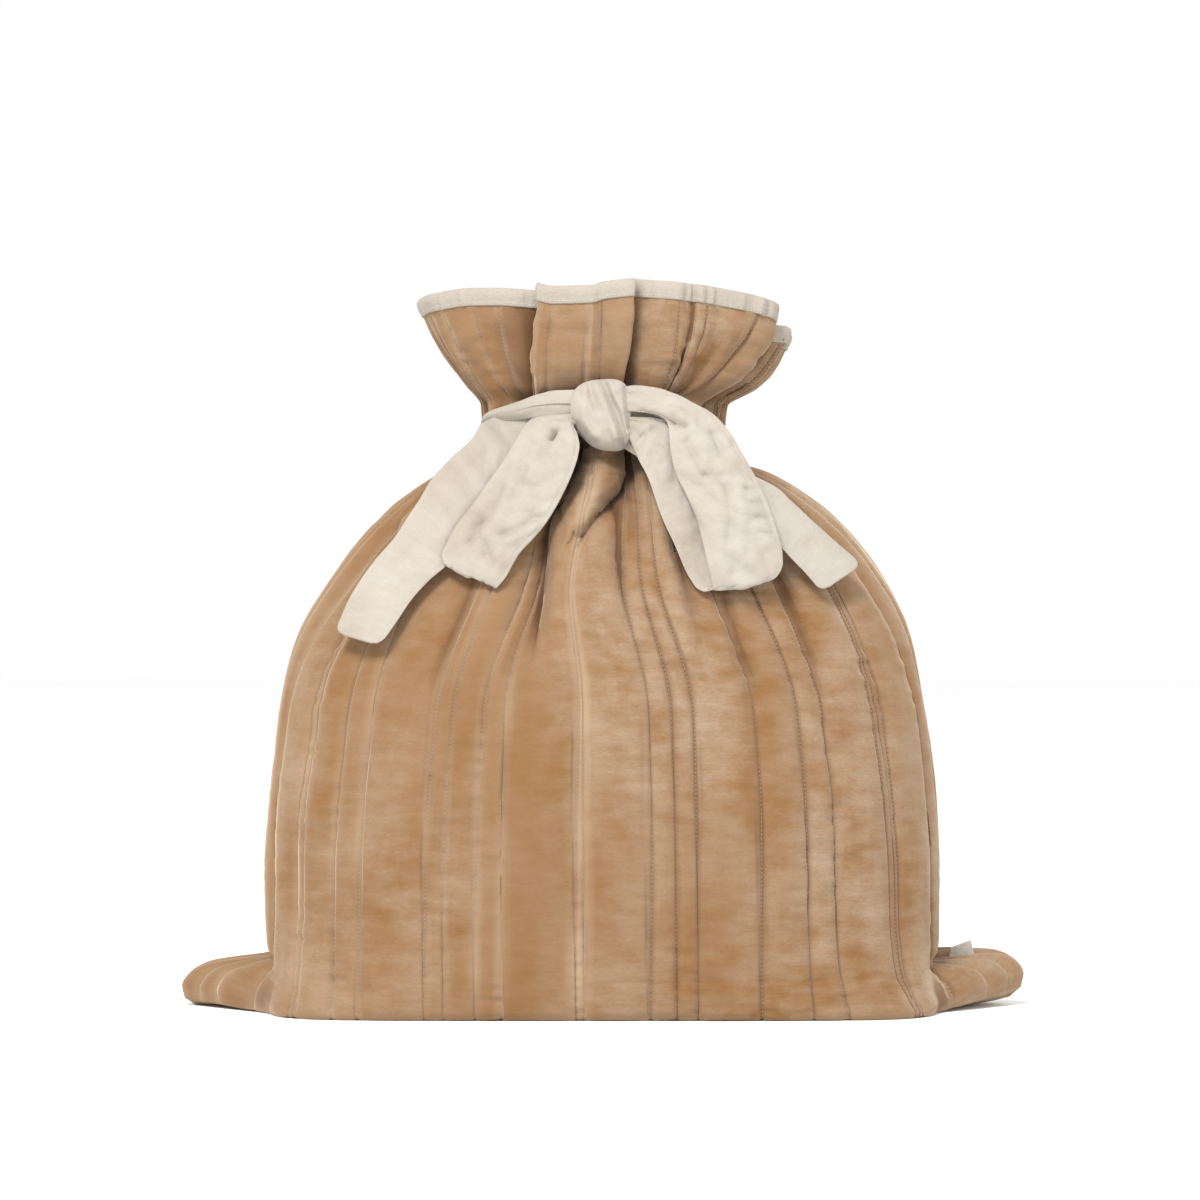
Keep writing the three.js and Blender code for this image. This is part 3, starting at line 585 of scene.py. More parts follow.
def wall_heights():
    z = np.linspace(0, RIM, 1500)
    half, front = (column_at(LEVELS, LEVEL_COLUMNS.index(name), z) for name in ("left", "front"))
    lean = np.hypot(np.gradient(half, z) * 0.6, np.gradient(front, z))
    close = np.where(z < CLOSE_BELOW, CLOSER, 1)
    length = added_up((np.hypot(1, lean) * close)[1:] * np.diff(z))
    return np.interp(np.linspace(0, length[-1], WALL_ROWS), length, z)


HEIGHTS = wall_heights()
print(len(HEIGHTS), "rows on the wall, the lowest", HEIGHTS[:3].round(1))

# %% [markdown]
# ## Quilted relief
#
# Between two lines of stitching the wadding swells. The swelling is nearly flat on top and drops
# steeply beside a line. It is squeezed out where the tie gathers the cloth and where the binding
# holds it. Short puckers run away from each line. A bump in the material would give the same shading,
# but not the soft outline, so the swelling is in the mesh.

# %% Puckers between the lines
PUCKERS_LEFT, PUCKERS_RIGHT = 0.85, 1.45  # how strong the puckers are on each half
PUCKERS_TURN, PUCKERS_OVER = -60, 200
PUCKERS_OPEN, PUCKERS_BESIDE, PUCKERS_REACH = 0.35, 0.9, 7  # away from a line, more beside it, how far
PUCKERED_SPACE = 38  # a narrower space puckers more
PUCKERS_END, PUCKER_LIMIT = 75, 1.3  # they fade out on the cloth beside a side seam


def line_spaces(s, lines):
    edges = np.array((-CLOTH_HALF, *lines, CLOTH_HALF), float)
    i = np.clip(np.searchsorted(edges, s, side="right") - 1, 0, len(edges) - 2)
    space = edges[i + 1] - edges[i]
    return i, space, (s - edges[i]) / space


def puckers(panel, s, run, space, to_line):
    """Short sideways ridges, in patches. They are stronger beside a line and in a narrow space."""
    height = layer(panel, "puckers", s, run) + layer(panel, "fine puckers", s, run + 0.25 * s)
    height = ease(0.55 + layer(panel, "pucker patches", s, run)) * height
    height = height * mix(PUCKERS_LEFT, PUCKERS_RIGHT, ease((s - PUCKERS_TURN) / PUCKERS_OVER))
    height = height * (PUCKERS_OPEN + PUCKERS_BESIDE * np.exp(-to_line / PUCKERS_REACH))
    height = height * np.clip(PUCKERED_SPACE / space, 0.5, 1.25)
    at_seam = np.clip((CLOTH_HALF - np.abs(s)) / PUCKERS_END, 0.08, 1) ** 1.5
    return PUCKER_LIMIT * np.tanh(height / PUCKER_LIMIT) * at_seam


print("space, and share of it, at 100 mm from the middle:", line_spaces(np.array([100.0]), FRONT_LINES)[1:])

# %% Height of the quilting at each point
SWELL, FULL_SPACE = 3.0, 26  # height of a full channel, and how wide it has to be
FLAT_TOP = 3.6  # a higher power makes a channel flatter on top and steeper at its sides
GROOVE, GROOVE_WIDTH = 0.6, 1.6
HEM_STITCH, HEM_FROM, HEM_TO = 26, -2, 195  # one sewn line runs along the bottom, between two places
HEM_DEPTH, HEM_WIDTH, HEM_FADES = 1.1, 1.5, 14
TIED_AT, TIED_OVER, TIED_FLAT = 400, 18, 0.8  # the tie presses the wadding flat
UNDER_BINDING, BINDING_PRESSES = 498, 14  # the binding does the same from this height up


def hem_line(panel, s, height):
    if panel["facing"] > 0:
        return 0 * height
    along = ease((s - HEM_FROM) / HEM_FADES) * ease((HEM_TO - s) / HEM_FADES)
    return -HEM_DEPTH * np.exp(-np.abs(height - HEM_STITCH) / HEM_WIDTH) * along


def relief(panel, s, run, height):
    """s is the place across, run the way up the cloth, height the height over the floor."""
    i, space, share = line_spaces(s, panel["lines"])
    to_line = np.minimum(share, 1 - share) * space
    fullness = np.clip(space / FULL_SPACE, 0, 1) ** 0.7
    fullness = fullness * (1 + layer(panel, "fullness", i * 40.0, run))
    swell = SWELL * fullness * (1 - np.abs(2 * share - 1) ** FLAT_TOP)
    groove = -GROOVE * np.exp(-to_line / GROOVE_WIDTH) * np.clip((CLOTH_HALF - np.abs(s)) / 4, 0, 1)
    creased = layer(panel, "neck creases", s + 0.3 * run, run)
    creased = creased * column_at(LEVELS, LEVEL_COLUMNS.index("fold"), height)
    under_tie = 1 - TIED_FLAT * hump(height, TIED_AT, TIED_OVER)
    at_rim = np.clip((UNDER_BINDING - height) / BINDING_PRESSES, 0, 1)
    at_floor = np.clip(height / 6, 0, 1)
    lift = swell + layer(panel, "wadding", s, run) + puckers(panel, s, run, space, to_line) + creased
    return lift * under_tie * at_rim * at_floor + groove * at_rim + hem_line(panel, s, height), to_line


print("relief in the middle of a wide space:",
      relief(FRONT, np.array([-42.0]), np.array([100.0]), np.array([100.0]))[0].round(2))

# %% [markdown]
# ## Making the panels
#
# A grid from the grid operator is laid on the surface: each of its points is moved to its place on
# the cloth. The relief is then added along the normals. The same step writes a flat map of the cloth,
# in metres. It also notes beside each point how the pile lies there, how it parts at a line, and how
# deep the cloth is folded. The material reads the map and the notes, so the colours follow the cloth
# and not the room.

# %% Lay a grid on a set of points


def mesh_of(bm, name):
    mesh = bpy.data.meshes.new(name)
    bm.to_mesh(mesh)
    bm.free()
    return mesh


def reworked(mesh, work):
    """Lets a function change a mesh with bmesh operators."""
    bm = bmesh.new()
    bm.from_mesh(mesh)
    work(bm)
    bm.to_mesh(mesh)
    bm.free()


def normals_of(points):
    across = np.gradient(points, axis=1)
    along = np.gradient(points, axis=0)
    normal = np.cross(across, along)
    return normal / np.maximum(np.linalg.norm(normal, axis=-1, keepdims=True), 1e-9)


def laid_grid(name, points, flat=None, notes=None, flip=False, weld=0.0):
    """points has rows, columns and three millimetre values. flat is a map of the cloth in metres."""
    rows, columns = points.shape[:2]
    bm = bmesh.new()
    bmesh.ops.create_grid(bm, x_segments=columns - 1, y_segments=rows - 1, size=1, calc_uvs=False)
    mesh = mesh_of(bm, name)
    place = np.zeros(len(mesh.vertices) * 3)
    mesh.vertices.foreach_get("co", place)
    place = place.reshape(-1, 3)
    column = np.rint((place[:, 0] + 1) / 2 * (columns - 1)).astype(int)
    row = np.rint((place[:, 1] + 1) / 2 * (rows - 1)).astype(int)
    mesh.vertices.foreach_set("co", (points[row, column] * MM).ravel())
    corner = np.zeros(len(mesh.loops), int)
    mesh.loops.foreach_get("vertex_index", corner)
    if flat is not None:
        cloth_map = mesh.uv_layers.new(name="cloth")
        cloth_map.data.foreach_set("uv", flat[row[corner], column[corner]].ravel())
    for title, values in (notes or {}).items():
        note = mesh.attributes.new(title, "FLOAT", "POINT")
        note.data.foreach_set("value", values[row, column].astype(np.float32))
    mesh.shade_smooth()
    if flip:
        mesh.flip_normals()
    if weld:
        reworked(mesh, lambda bm: bmesh.ops.remove_doubles(bm, verts=bm.verts, dist=weld))
    mesh.update()
    return placed(name, mesh)


print("grid helper ready")

# %% [markdown]
# ## Bends, bunches and hollows
#
# Real cloth has no kinks, so the rows are evened out where the lines bend, above and below. Where the
# cloth is bunched, the same relief would stand too steep, so it gets lower as the columns get closer.
# The two panels share the points of their side seams, which closes the bag. Last, each point is compared with
# its surroundings, to find the hollows and ridges where the velvet gets painted shade and a painted
# highlight.

# %% Even out the cloth and find its hollows
SURROUNDINGS = ((4, 7, 1.0), (9, 18, 0.6))  # rows and columns to each side, and their share


def softened(values, times):
    for _ in range(times):
        values = (values + np.roll(values, 1, axis=1) + np.roll(values, -1, axis=1)) / 3
    return values


def evened(values, axis, half):
    """The mean over so many neighbours on both sides."""
    width = [(0, 0)] * values.ndim
    width[axis] = (half + 1, half)
    total = np.cumsum(np.pad(values, width, mode="edge"), axis=axis)
    count = 2 * half + 1
    upper = np.take(total, range(count, total.shape[axis]), axis=axis)
    lower = np.take(total, range(total.shape[axis] - count), axis=axis)
    return (upper - lower) / count


def hollow_of(points, outwards):
    """How far each point lies below its surroundings, in millimetres."""
    depth = 0
    for rows, columns, share in SURROUNDINGS:
        around = evened(evened(points, 0, rows), 1, columns)
        depth = depth + share * ((around - points) * outwards).sum(axis=-1)
    return depth


print("a step, evened out:", evened(np.array([0.0, 0, 0, 1, 1, 1]), 0, 1).round(2))

# %% The points of both panels
SCALLOP, SCALLOP_TOP, SCALLOP_WIDTH = 0.9, 7, 2.6  # a line draws the bottom edge up a little
SEAM_COLUMNS = [0, -1]  # both panels share these, so the side seams are closed
BEND_FROM, BEND_TO = 205, 325  # the lines bend softly between these heights
FOOT_FROM, FOOT_TO = 8, 60  # and once more close to the floor
LEAST_LIFT = 0.12  # what is left of the relief where the cloth is bunched most


def base_points(panel, s, level):
    """The cloth without its relief. Its rows are evened out where the lines bend."""
    rows = [floor_row(panel, s, share) for share in np.linspace(0, 1, FLOOR_ROWS, endpoint=False)]
    rows += [cloth_row(panel, s + wander(s, z, panel["seed"]), float(z)) for z in HEIGHTS]
    base = np.array(rows)
    bend = ease((level - BEND_FROM) / 20) * ease((BEND_TO - level) / 20)
    foot = ease((level - FOOT_FROM) / 8) * ease((FOOT_TO - level) / 12)
    foot = foot * (1 - ease((np.abs(s) - EAR_START + 20) / 20))
    for share, half in ((bend, 7), (foot, 8)):
        base = mix(base, evened(evened(base, 0, half), 0, half), share[..., None])
    return base


def scallops(across, to_line):
    from_edge = np.concatenate([np.linspace(60, 0, FLOOR_ROWS, endpoint=False), HEIGHTS])[:, None]
    in_middle = ease((EAR_START - np.abs(across)) / 12)
    return SCALLOP * np.exp(-to_line / SCALLOP_WIDTH) * np.clip(1 - from_edge / SCALLOP_TOP, 0, 1) * in_middle


def panel_points(panel):
    s, on_line = columns_of(panel["lines"])
    level = np.concatenate([np.zeros(FLOOR_ROWS), HEIGHTS])[:, None] + np.zeros_like(s)
    base = base_points(panel, s, level)
    run = added_up(np.linalg.norm(np.diff(base, axis=0), axis=-1).mean(axis=1))[:, None] + np.zeros_like(s)
    across = np.broadcast_to(s, run.shape)
    outwards = normals_of(base) * (1 if panel["facing"] < 0 else -1)
    lift, to_line = relief(panel, across, run, level)
    lift[:FLOOR_ROWS] = 0
    spacing = np.linalg.norm(np.gradient(base, axis=1), axis=-1) / np.gradient(s)
    lift = lift * np.clip(softened(spacing, 3) * 1.1, LEAST_LIFT, 1)
    points = base + outwards * lift[..., None]
    points[..., 2] = np.maximum(points[..., 2] + scallops(across, to_line), 0)
    seams = base if panel is FRONT else FRONT["points"]
    points[:, SEAM_COLUMNS] = seams[:, SEAM_COLUMNS]
    points[:, SEAM_COLUMNS, 1] = 0
    # how deep each point lies in a fold; it sets the painted shade in hollows and the painted highlight on
    # ridges
    hollow = hollow_of(base + outwards * 0.35 * lift[..., None], outwards)
    panel.update(base=base, hollow=hollow, points=points, outwards=outwards, run=run, across=across,
                 to_line=to_line, level=level, on_line=on_line)
    return points


for panel in (FRONT, BACK):
    rows, columns = panel_points(panel).shape[:2]
    print("panel of", rows, "by", columns, "points,", panel["run"].max().round(), "mm up the cloth")

# %% Lay the velvet
TIE_SHADOW, TIE_SHADOW_AT, TIE_SHADOW_OVER = 3.8, 388, 24  # painted shadow of the tie and knot on the neck
FUZZ_HIGHLIGHT_LEFT, FUZZ_HIGHLIGHT_RIGHT, FUZZ_WIDTH = 1.0, 0.3, 2.3  # how light the pile is beside a line on each half, partly parted pile and partly a painted highlight
FUZZ_TURN, FUZZ_OVER = 70, 90
DOUBLE_LINE, DOUBLE_WIDTH, DOUBLE_FUZZ_HIGHLIGHT = -15.75, 9, 0.6  # the pile between two middle lines is raised, and painted lighter as a highlight
SLIT_WIDTH, SLIT_HIDDEN = 0.8, 0.75  # the dark gap in the pile at a line with painted groove shade, and what the lighter edge hides of it
EAR_CLOTH = 45  # no gap shows on this much cloth beside a side seam
LEFT_SIDE_SHADE, LEFT_SIDE_SHADE_TURN, LEFT_SIDE_SHADE_OVER, BRUSHED_LESS = 0.6, 90, 200, 0.25  # brushed patches, and the left half painted a deeper tan as side shading
FOLDED_FROM, FOLDED_OVER, FOLDED_BELOW = 265, 70, 0.45  # painted fold shade is weaker below this height


def pile_notes(panel):
    """Notes for the colour: parted pile with painted groove shade, brushed pile with a painted deeper left
    half, lighter pile edges with a painted highlight, painted shade in folds and at the tie, and a painted
    highlight on ridges.
    """
    across, run, to_line, level = (panel[key] for key in ("across", "run", "to_line", "level"))
    nap_and_side_shade = 0.5 + layer(panel, "brushing", across, run)
    # the left half is painted a deeper tan as side shading, over the brushed patches
    on_left = ease((LEFT_SIDE_SHADE_TURN - across) / LEFT_SIDE_SHADE_OVER)
    nap_and_side_shade = np.clip(nap_and_side_shade + LEFT_SIDE_SHADE * on_left - BRUSHED_LESS, 0, 1)
    side = mix(FUZZ_HIGHLIGHT_RIGHT, FUZZ_HIGHLIGHT_LEFT, ease((FUZZ_TURN - across) / FUZZ_OVER))
    patchy = 0.65 + layer(panel, "raised pile", across, run)
    between = DOUBLE_FUZZ_HIGHLIGHT * hump(across, DOUBLE_LINE, DOUBLE_WIDTH)
    # lighter pile beside each line where it parts, with a painted highlight that is stronger on the left half
    fuzz_and_highlight = np.clip(side * patchy * np.exp(-to_line / FUZZ_WIDTH) + between * patchy, 0, 1)
    away = np.clip((CLOTH_HALF - EAR_CLOTH - np.abs(across)) / 20, 0, 1)
    # a thin dark gap where the pile parts at a line, with painted groove shade that is stronger on the right
    # half
    slit_and_groove_shade = np.exp(-to_line / SLIT_WIDTH) * (1 - SLIT_HIDDEN * side) * away
    folded = mix(FOLDED_BELOW, 1, ease((level - FOLDED_FROM) / FOLDED_OVER))
    # painted shadow that the tie and knot cast on the neck, added to the fold shade
    tie_shadow = TIE_SHADOW * hump(level, TIE_SHADOW_AT, TIE_SHADOW_OVER)
    return {"slit_and_groove_shade": slit_and_groove_shade, "nap_and_side_shade": nap_and_side_shade, "fuzz_and_highlight": fuzz_and_highlight, "hollow": panel["hollow"] * folded + tie_shadow}


def velvet_piece(name, panel):
    flat = np.stack([panel["across"], panel["run"]], axis=-1) * MM
    piece = laid_grid(name, panel["points"], flat, pile_notes(panel), flip=panel["facing"] > 0)
    print(name, "has", 2 * len(piece.data.polygons), "triangles")
    return piece


front_velvet = velvet_piece("front_velvet", FRONT)
back_velvet = velvet_piece("back_velvet", BACK)

# %% [markdown]
# ## Lining
#
# The inside of such a sack is plain cotton. It is only seen when one looks into the mouth, so the
# lining is laid from a little below the neck up to the rim. It follows the velvet at the thickness
# of the quilting, and comes close to it at the rim, where the binding presses both together. Half the
# rows and columns are enough, because it has no relief of its own.

# %% Lay the lining inside
LINING_DEPTH, LINING_AT_RIM = 3.2, 1.2
LINING_FROM, LINING_STEP = 330, 2


def every(step, first, count):
    """Every so many of them from the first on, and the last."""
    return np.unique(np.append(np.arange(first, count, step), count - 1))


def lining_piece(name, panel):
    inwards = mix(LINING_AT_RIM, LINING_DEPTH, np.clip((RIM - panel["level"]) / 20, 0, 1))
    points = panel["base"] - panel["outwards"] * inwards[..., None]
    points[..., 1] = panel["facing"] * np.maximum(panel["facing"] * points[..., 1], SEAM_GAP)
    first = FLOOR_ROWS + int(np.searchsorted(HEIGHTS, LINING_FROM))
    pick = np.ix_(every(LINING_STEP, first, len(points)), every(LINING_STEP, 0, points.shape[1]))
    flat = np.stack([panel["across"][pick], panel["run"][pick]], axis=-1) * MM
    print(name, "runs", (panel["run"][-1, 0] - panel["run"][first, 0]).round(), "mm up the cloth")
    return laid_grid(name, points[pick], flat, flip=panel["facing"] < 0)


front_lining = lining_piece("front_lining", FRONT)
back_lining = lining_piece("back_lining", BACK)
print("lining faces:", len(front_lining.data.polygons) + len(back_lining.data.polygons))

# %% [markdown]
# ## Binding of the mouth
#
# A bias strip is folded over the raw edge and topstitched. A round tube along the rim would be
# quicker, but it would lack the two flat sides that the stitching gives. So its section is a narrow
# upside-down U, whose points are some way down the cloth and some way out from it. It is swept along
# the rim, over the front panel and back along the other one, and puckers as it goes.

# %% Sweep the binding's section along the rim
BINDING_HEIGHT, BINDING_STOPS = 10.5, 640
SECTION = (  # way down the cloth, way out from it
    (10.5, -0.4), (10.6, 0.9), (9.6, 1.5), (8.4, 1.2), (6, 1.9), (3, 2.1), (0.8, 2.0), (-0.9, 1.4),
    (-1.7, 0.4), (-1.9, -0.7), (-1.4, -1.8), (0.2, -2.6), (3, -3.1), (6, -3.4), (9.4, -3.9), (10.5, -3.5),
    (10.5, -2.4),
)
TOPSTITCHED = 3  # the point of the section that the stitches go through
BINDING_PUCKER, RIGHT_PUCKER = 0.75, 2.3  # in millimetres, and how much more on the front right
JOIN_CALM = 4  # no pucker on the last millimetres, where the strip meets its start


def rim_ring():
    """Places along the rim, and the same places a binding's width lower."""
    s = np.linspace(-CLOTH_HALF, CLOTH_HALF, 900)
    top, low = [np.concatenate([cloth_row(FRONT, s, z)[:-1], cloth_row(BACK, s, z)[::-1][:-1]])
                for z in (RIM, RIM - BINDING_HEIGHT)]
    top, low = (np.concatenate([way, way[:1]]) for way in (top, low))
    length = length_along(top)
    at = np.linspace(0, length[-1], BINDING_STOPS + 1)
    return followed(top, length, at), followed(low, length, at), at


def swept(section, around, top, low):
    down = low - top
    down /= np.linalg.norm(down, axis=1, keepdims=True)
    ahead = np.roll(top[:-1], -2, axis=0) - np.roll(top[:-1], 2, axis=0)
    ahead = softened(np.concatenate([ahead, ahead[:1]])[None], 2)[0]
    out = np.cross(down, ahead)
    out /= np.linalg.norm(out, axis=1, keepdims=True)
    out[-1], down[-1] = out[0], down[0]
    calls = ease(0.6 + 0.6 * uneven(around, 0 * around, 70, 9, 6))
    calls = calls * mix(1, RIGHT_PUCKER, ease((top[:, 0] - 12) / 45) * (top[:, 1] < 0))
    rows = []
    for way_down, way_out in section:
        pucker = BINDING_PUCKER * calls * uneven(around, 0 * around + way_down * 0.4, 3.6, 9, 5)
        pucker = np.where(around > around[-1] - JOIN_CALM, 0, pucker) * (way_out > 0)
        rows.append(top + down * way_down + out * (way_out + pucker)[:, None])
    return np.array(rows), out


rim_top, rim_low, around = rim_ring()
ring, ring_out = swept(SECTION, around, rim_top, rim_low)
ring[:, -1] = ring[:, 0]
ring_flat = np.stack(np.meshgrid(around, np.arange(len(SECTION)) * 2.0), axis=-1) * MM
mouth_binding = laid_grid("mouth_binding_cloth", ring, ring_flat, flip=True, weld=0.00002)
print("binding runs", around[-1].round(), "mm round the mouth")

# %% [markdown]
# ## Stitches
#
# Every stitch is a short thread that lies in its groove. One small capsule is made with a cone
# operator, and copies of it are laid end to end along each line, with a gap where the thread dives
# through the cloth. A pattern in the material would be lighter, but flat when seen from the side.

# %% Lay stitches along a path
STITCH_PITCH, THREAD = 2.9, 0.5  # in millimetres
THREAD_SHOWS = 0.78  # the share of the pitch that a stitch fills


def capsule(length, thick):
    bm = bmesh.new()
    bmesh.ops.create_cone(bm, cap_ends=True, segments=5, radius1=thick / 2, radius2=thick / 2,
                          depth=length * 0.6)
    ends = [face for face in bm.faces if abs(face.normal.z) > 0.9]
    bmesh.ops.poke(bm, faces=ends, offset=length * 0.2)
    return mesh_of(bm, "capsule")


def along_path(path, out):
    """Middles, directions and outward directions of the stitches on a path, in millimetres."""
    length = length_along(path)
    at = np.arange(STITCH_PITCH, length[-1] - STITCH_PITCH, STITCH_PITCH)
    middle = followed(path, length, at)
    along = followed(path, length, at + 0.5) - middle
    return middle, along / np.linalg.norm(along, axis=-1, keepdims=True), followed(out, length, at)


def sewn(name, paths, shape, proud=0.1):
    middles, alongs, outs = [np.concatenate(part) for part in zip(*(along_path(*path) for path in paths))]
    side = np.cross(outs, alongs)
    side /= np.maximum(np.linalg.norm(side, axis=-1, keepdims=True), 1e-9)
    up = np.cross(alongs, side)
    frames = np.stack([side, up, alongs], axis=1)
    corners = np.array([v.co for v in shape.vertices])
    faces = [tuple(f.vertices) for f in shape.polygons]
    places = np.einsum("vk,nkj->nvj", corners, frames) + (middles + up * proud)[:, None]
    count = len(corners)
    flat_faces = [tuple(i + count * n for i in face) for n in range(len(middles)) for face in faces]
    mesh = bpy.data.meshes.new(name)
    mesh.from_pydata((places.reshape(-1, 3) * MM).tolist(), [], flat_faces)
    mesh.shade_smooth()
    print(name, "has", len(middles), "stitches")
    return placed(name, mesh)


stitch = capsule(STITCH_PITCH * THREAD_SHOWS, THREAD)
print("one stitch has", len(stitch.polygons), "faces")

# %% Stitch the quilting and the binding


def quilting_paths(panel):
    first = FLOOR_ROWS + 1
    return [(panel["points"][first:, i], panel["outwards"][first:, i]) for i in panel["on_line"]]


front_quilting = sewn("front_quilting", quilting_paths(FRONT), stitch)
back_quilting = sewn("back_quilting", quilting_paths(BACK), stitch)
binding_stitching = sewn("binding_stitching", [(ring[TOPSTITCHED], ring_out)], stitch, proud=0.2)

# %% [markdown]
# ## The tie
#
# The tie is one long velvet strip, sewn as a tube and pressed flat. It goes round the neck, makes a
# knot in front, and hangs in two loops and two tails. Each part follows a list of stations. A station
# gives the two edges of the strip with their depths, and how far its middle bulges forwards. A tube
# bent along one curve would turn over wherever it liked, and two edges say how the strip lies. Long
# creases run out of the knot, where the strip is squeezed, and die out where it is free.

# %% Stations of the loops and tails
LOOP_LEFT = (  # first edge x, z, y, second edge x, z, y, bulge
    (-8, 420, -72, -8, 410, -74, 0), (-20, 417, -76, -19, 410.5, -80, 0),
    (-27, 416.8, -74, -21, 410.4, -83, 2),
    (-38.3, 417.0, -68, -18.0, 404.5, -87, 4), (-48.0, 416.0, -66, -16.3, 396.1, -90, 6),
    (-55.0, 409, -71, -17.3, 388.4, -92, 6), (-61.2, 398.5, -75, -20.8, 377.3, -93, 5),
    (-68.3, 386.6, -78.5, -26.3, 364.8, -95, 4), (-77.8, 373.3, -83, -33.2, 351.6, -97, 4),
    (-86.7, 360.0, -87, -40.8, 339.8, -100, 4), (-94.9, 348.9, -92, -49.0, 330.0, -103, 4),
    (-102.5, 338.5, -95, -57.3, 321.0, -106, 3), (-107.9, 328.0, -98, -63.4, 310.7, -108, 2),
    (-111.3, 319.7, -100, -68.9, 301.7, -110, 1), (-109.5, 313.5, -102, -73.6, 296.5, -109, 0),
    (-107.3, 316, -98, -73.2, 299.5, -104, 0), (-93.5, 328, -94, -64, 313, -101, 0),
    (-78.5, 351, -86, -48, 338, -96, 0), (-62, 374, -80, -30, 366, -90, 0),
    (-48, 394, -76, -21.6, 388.0, -82, 0), (-35, 405, -73, -19.5, 399, -78, 0),
    (-18, 416, -70, -18, 406, -72, 0), (-8, 416, -68, -8, 406, -70, 0),
)
TAIL_LEFT = (
    (-12, 420, -64, -12, 406, -64, 0), (-25, 420, -62, -22, 404, -66, 0), (-42, 422, -60, -26, 401, -68, 0),
    (-61.8, 421, -52, -40.6, 394, -70, 0), (-76.0, 417.5, -38, -54.7, 388, -71, 0),
    (-84.6, 412.7, -50, -62.3, 381, -74, 0), (-92.0, 400.9, -62, -70.5, 370, -77, 0),
    (-103.3, 390.1, -72, -77.3, 360.4, -81, 1), (-111.7, 381.3, -76, -82.8, 352.6, -84, 1),
    (-119.3, 372.6, -80, -89.6, 342.8, -87.5, 1), (-127.7, 358.2, -84, -97.8, 330.2, -92, 1),
    (-135.2, 346.6, -87, -103.3, 319.1, -96, 1), (-144.8, 331.4, -90, -108.7, 312.1, -99, 1),
    (-156.7, 317.9, -92, -119.8, 302.4, -102, 1), (-167.9, 302.5, -94, -132.2, 288.6, -105, 1),
    (-176.2, 288.6, -96, -139.7, 277.5, -108, 1), (-181.6, 276.1, -97, -146.6, 267.2, -110, 1),
    (-185.5, 266.0, -98, -154, 257.0, -111, 0),
)
LOOP_RIGHT = (
    (6, 404, -74, 6, 414, -74, 0), (17, 402, -79, 21, 416, -79, 0), (20.8, 395.6, -85, 33, 415.5, -82, 2),
    (24.8, 385.9, -89, 50, 410.5, -85, 2), (30.7, 374.9, -92, 63, 392, -89, 2),
    (40.5, 346.9, -99, 74, 361, -96, 2), (49.4, 327.0, -104, 84.5, 341.1, -101, 1),
    (60.2, 303.2, -108, 94.5, 316.2, -106, 0), (65.5, 296.2, -111, 100.0, 304.5, -109, 0),
    (70.2, 294.3, -114, 109.5, 300.5, -113, 0), (75.7, 297.0, -116, 119.1, 304.0, -114, 1),
    (72.9, 309.2, -117, 124.0, 314.1, -113, 3), (69.1, 326.9, -114, 123.4, 323.1, -110, 5),
    (64.1, 345.8, -111, 118.7, 341.0, -107, 6), (57.3, 361.7, -108, 111.9, 359.8, -103, 6),
    (51.4, 373.5, -105, 105.1, 374.7, -98, 6), (48.4, 382.6, -103, 97.2, 388.8, -94, 5),
    (46.3, 397.2, -98, 87.4, 405.8, -90, 4), (45.7, 407.7, -94, 75.7, 418.4, -87, 3),
    (42.3, 414.8, -90, 61.8, 426.0, -84, 3), (36.1, 417.7, -87, 50.7, 431.5, -82, 3),
    (26.4, 419.2, -84, 36.9, 436.1, -80, 3), (17, 420.1, -80, 22.0, 438, -77, 0),
    (6, 421, -75, 6, 434, -73, 0),
)
TAIL_RIGHT = (
    (9.1, 415.6, -70, 9.1, 398.1, -70, 0), (39.7, 404.4, -74, 30.0, 384.8, -76, 0),
    (74.5, 391.6, -82, 59.1, 366.5, -87, 0), (104.3, 375.2, -88, 86.9, 351.1, -95, 0),
    (121.8, 365.9, -87, 103.5, 342.8, -97, 0), (131.8, 356.2, -86, 116.8, 331.7, -99, 1),
    (145.2, 343.8, -84, 128.7, 319.2, -99, 1), (164.3, 327.1, -82, 140.6, 306.7, -99, 1),
    (180.6, 313.1, -81, 151.1, 294.2, -98, 0),
)
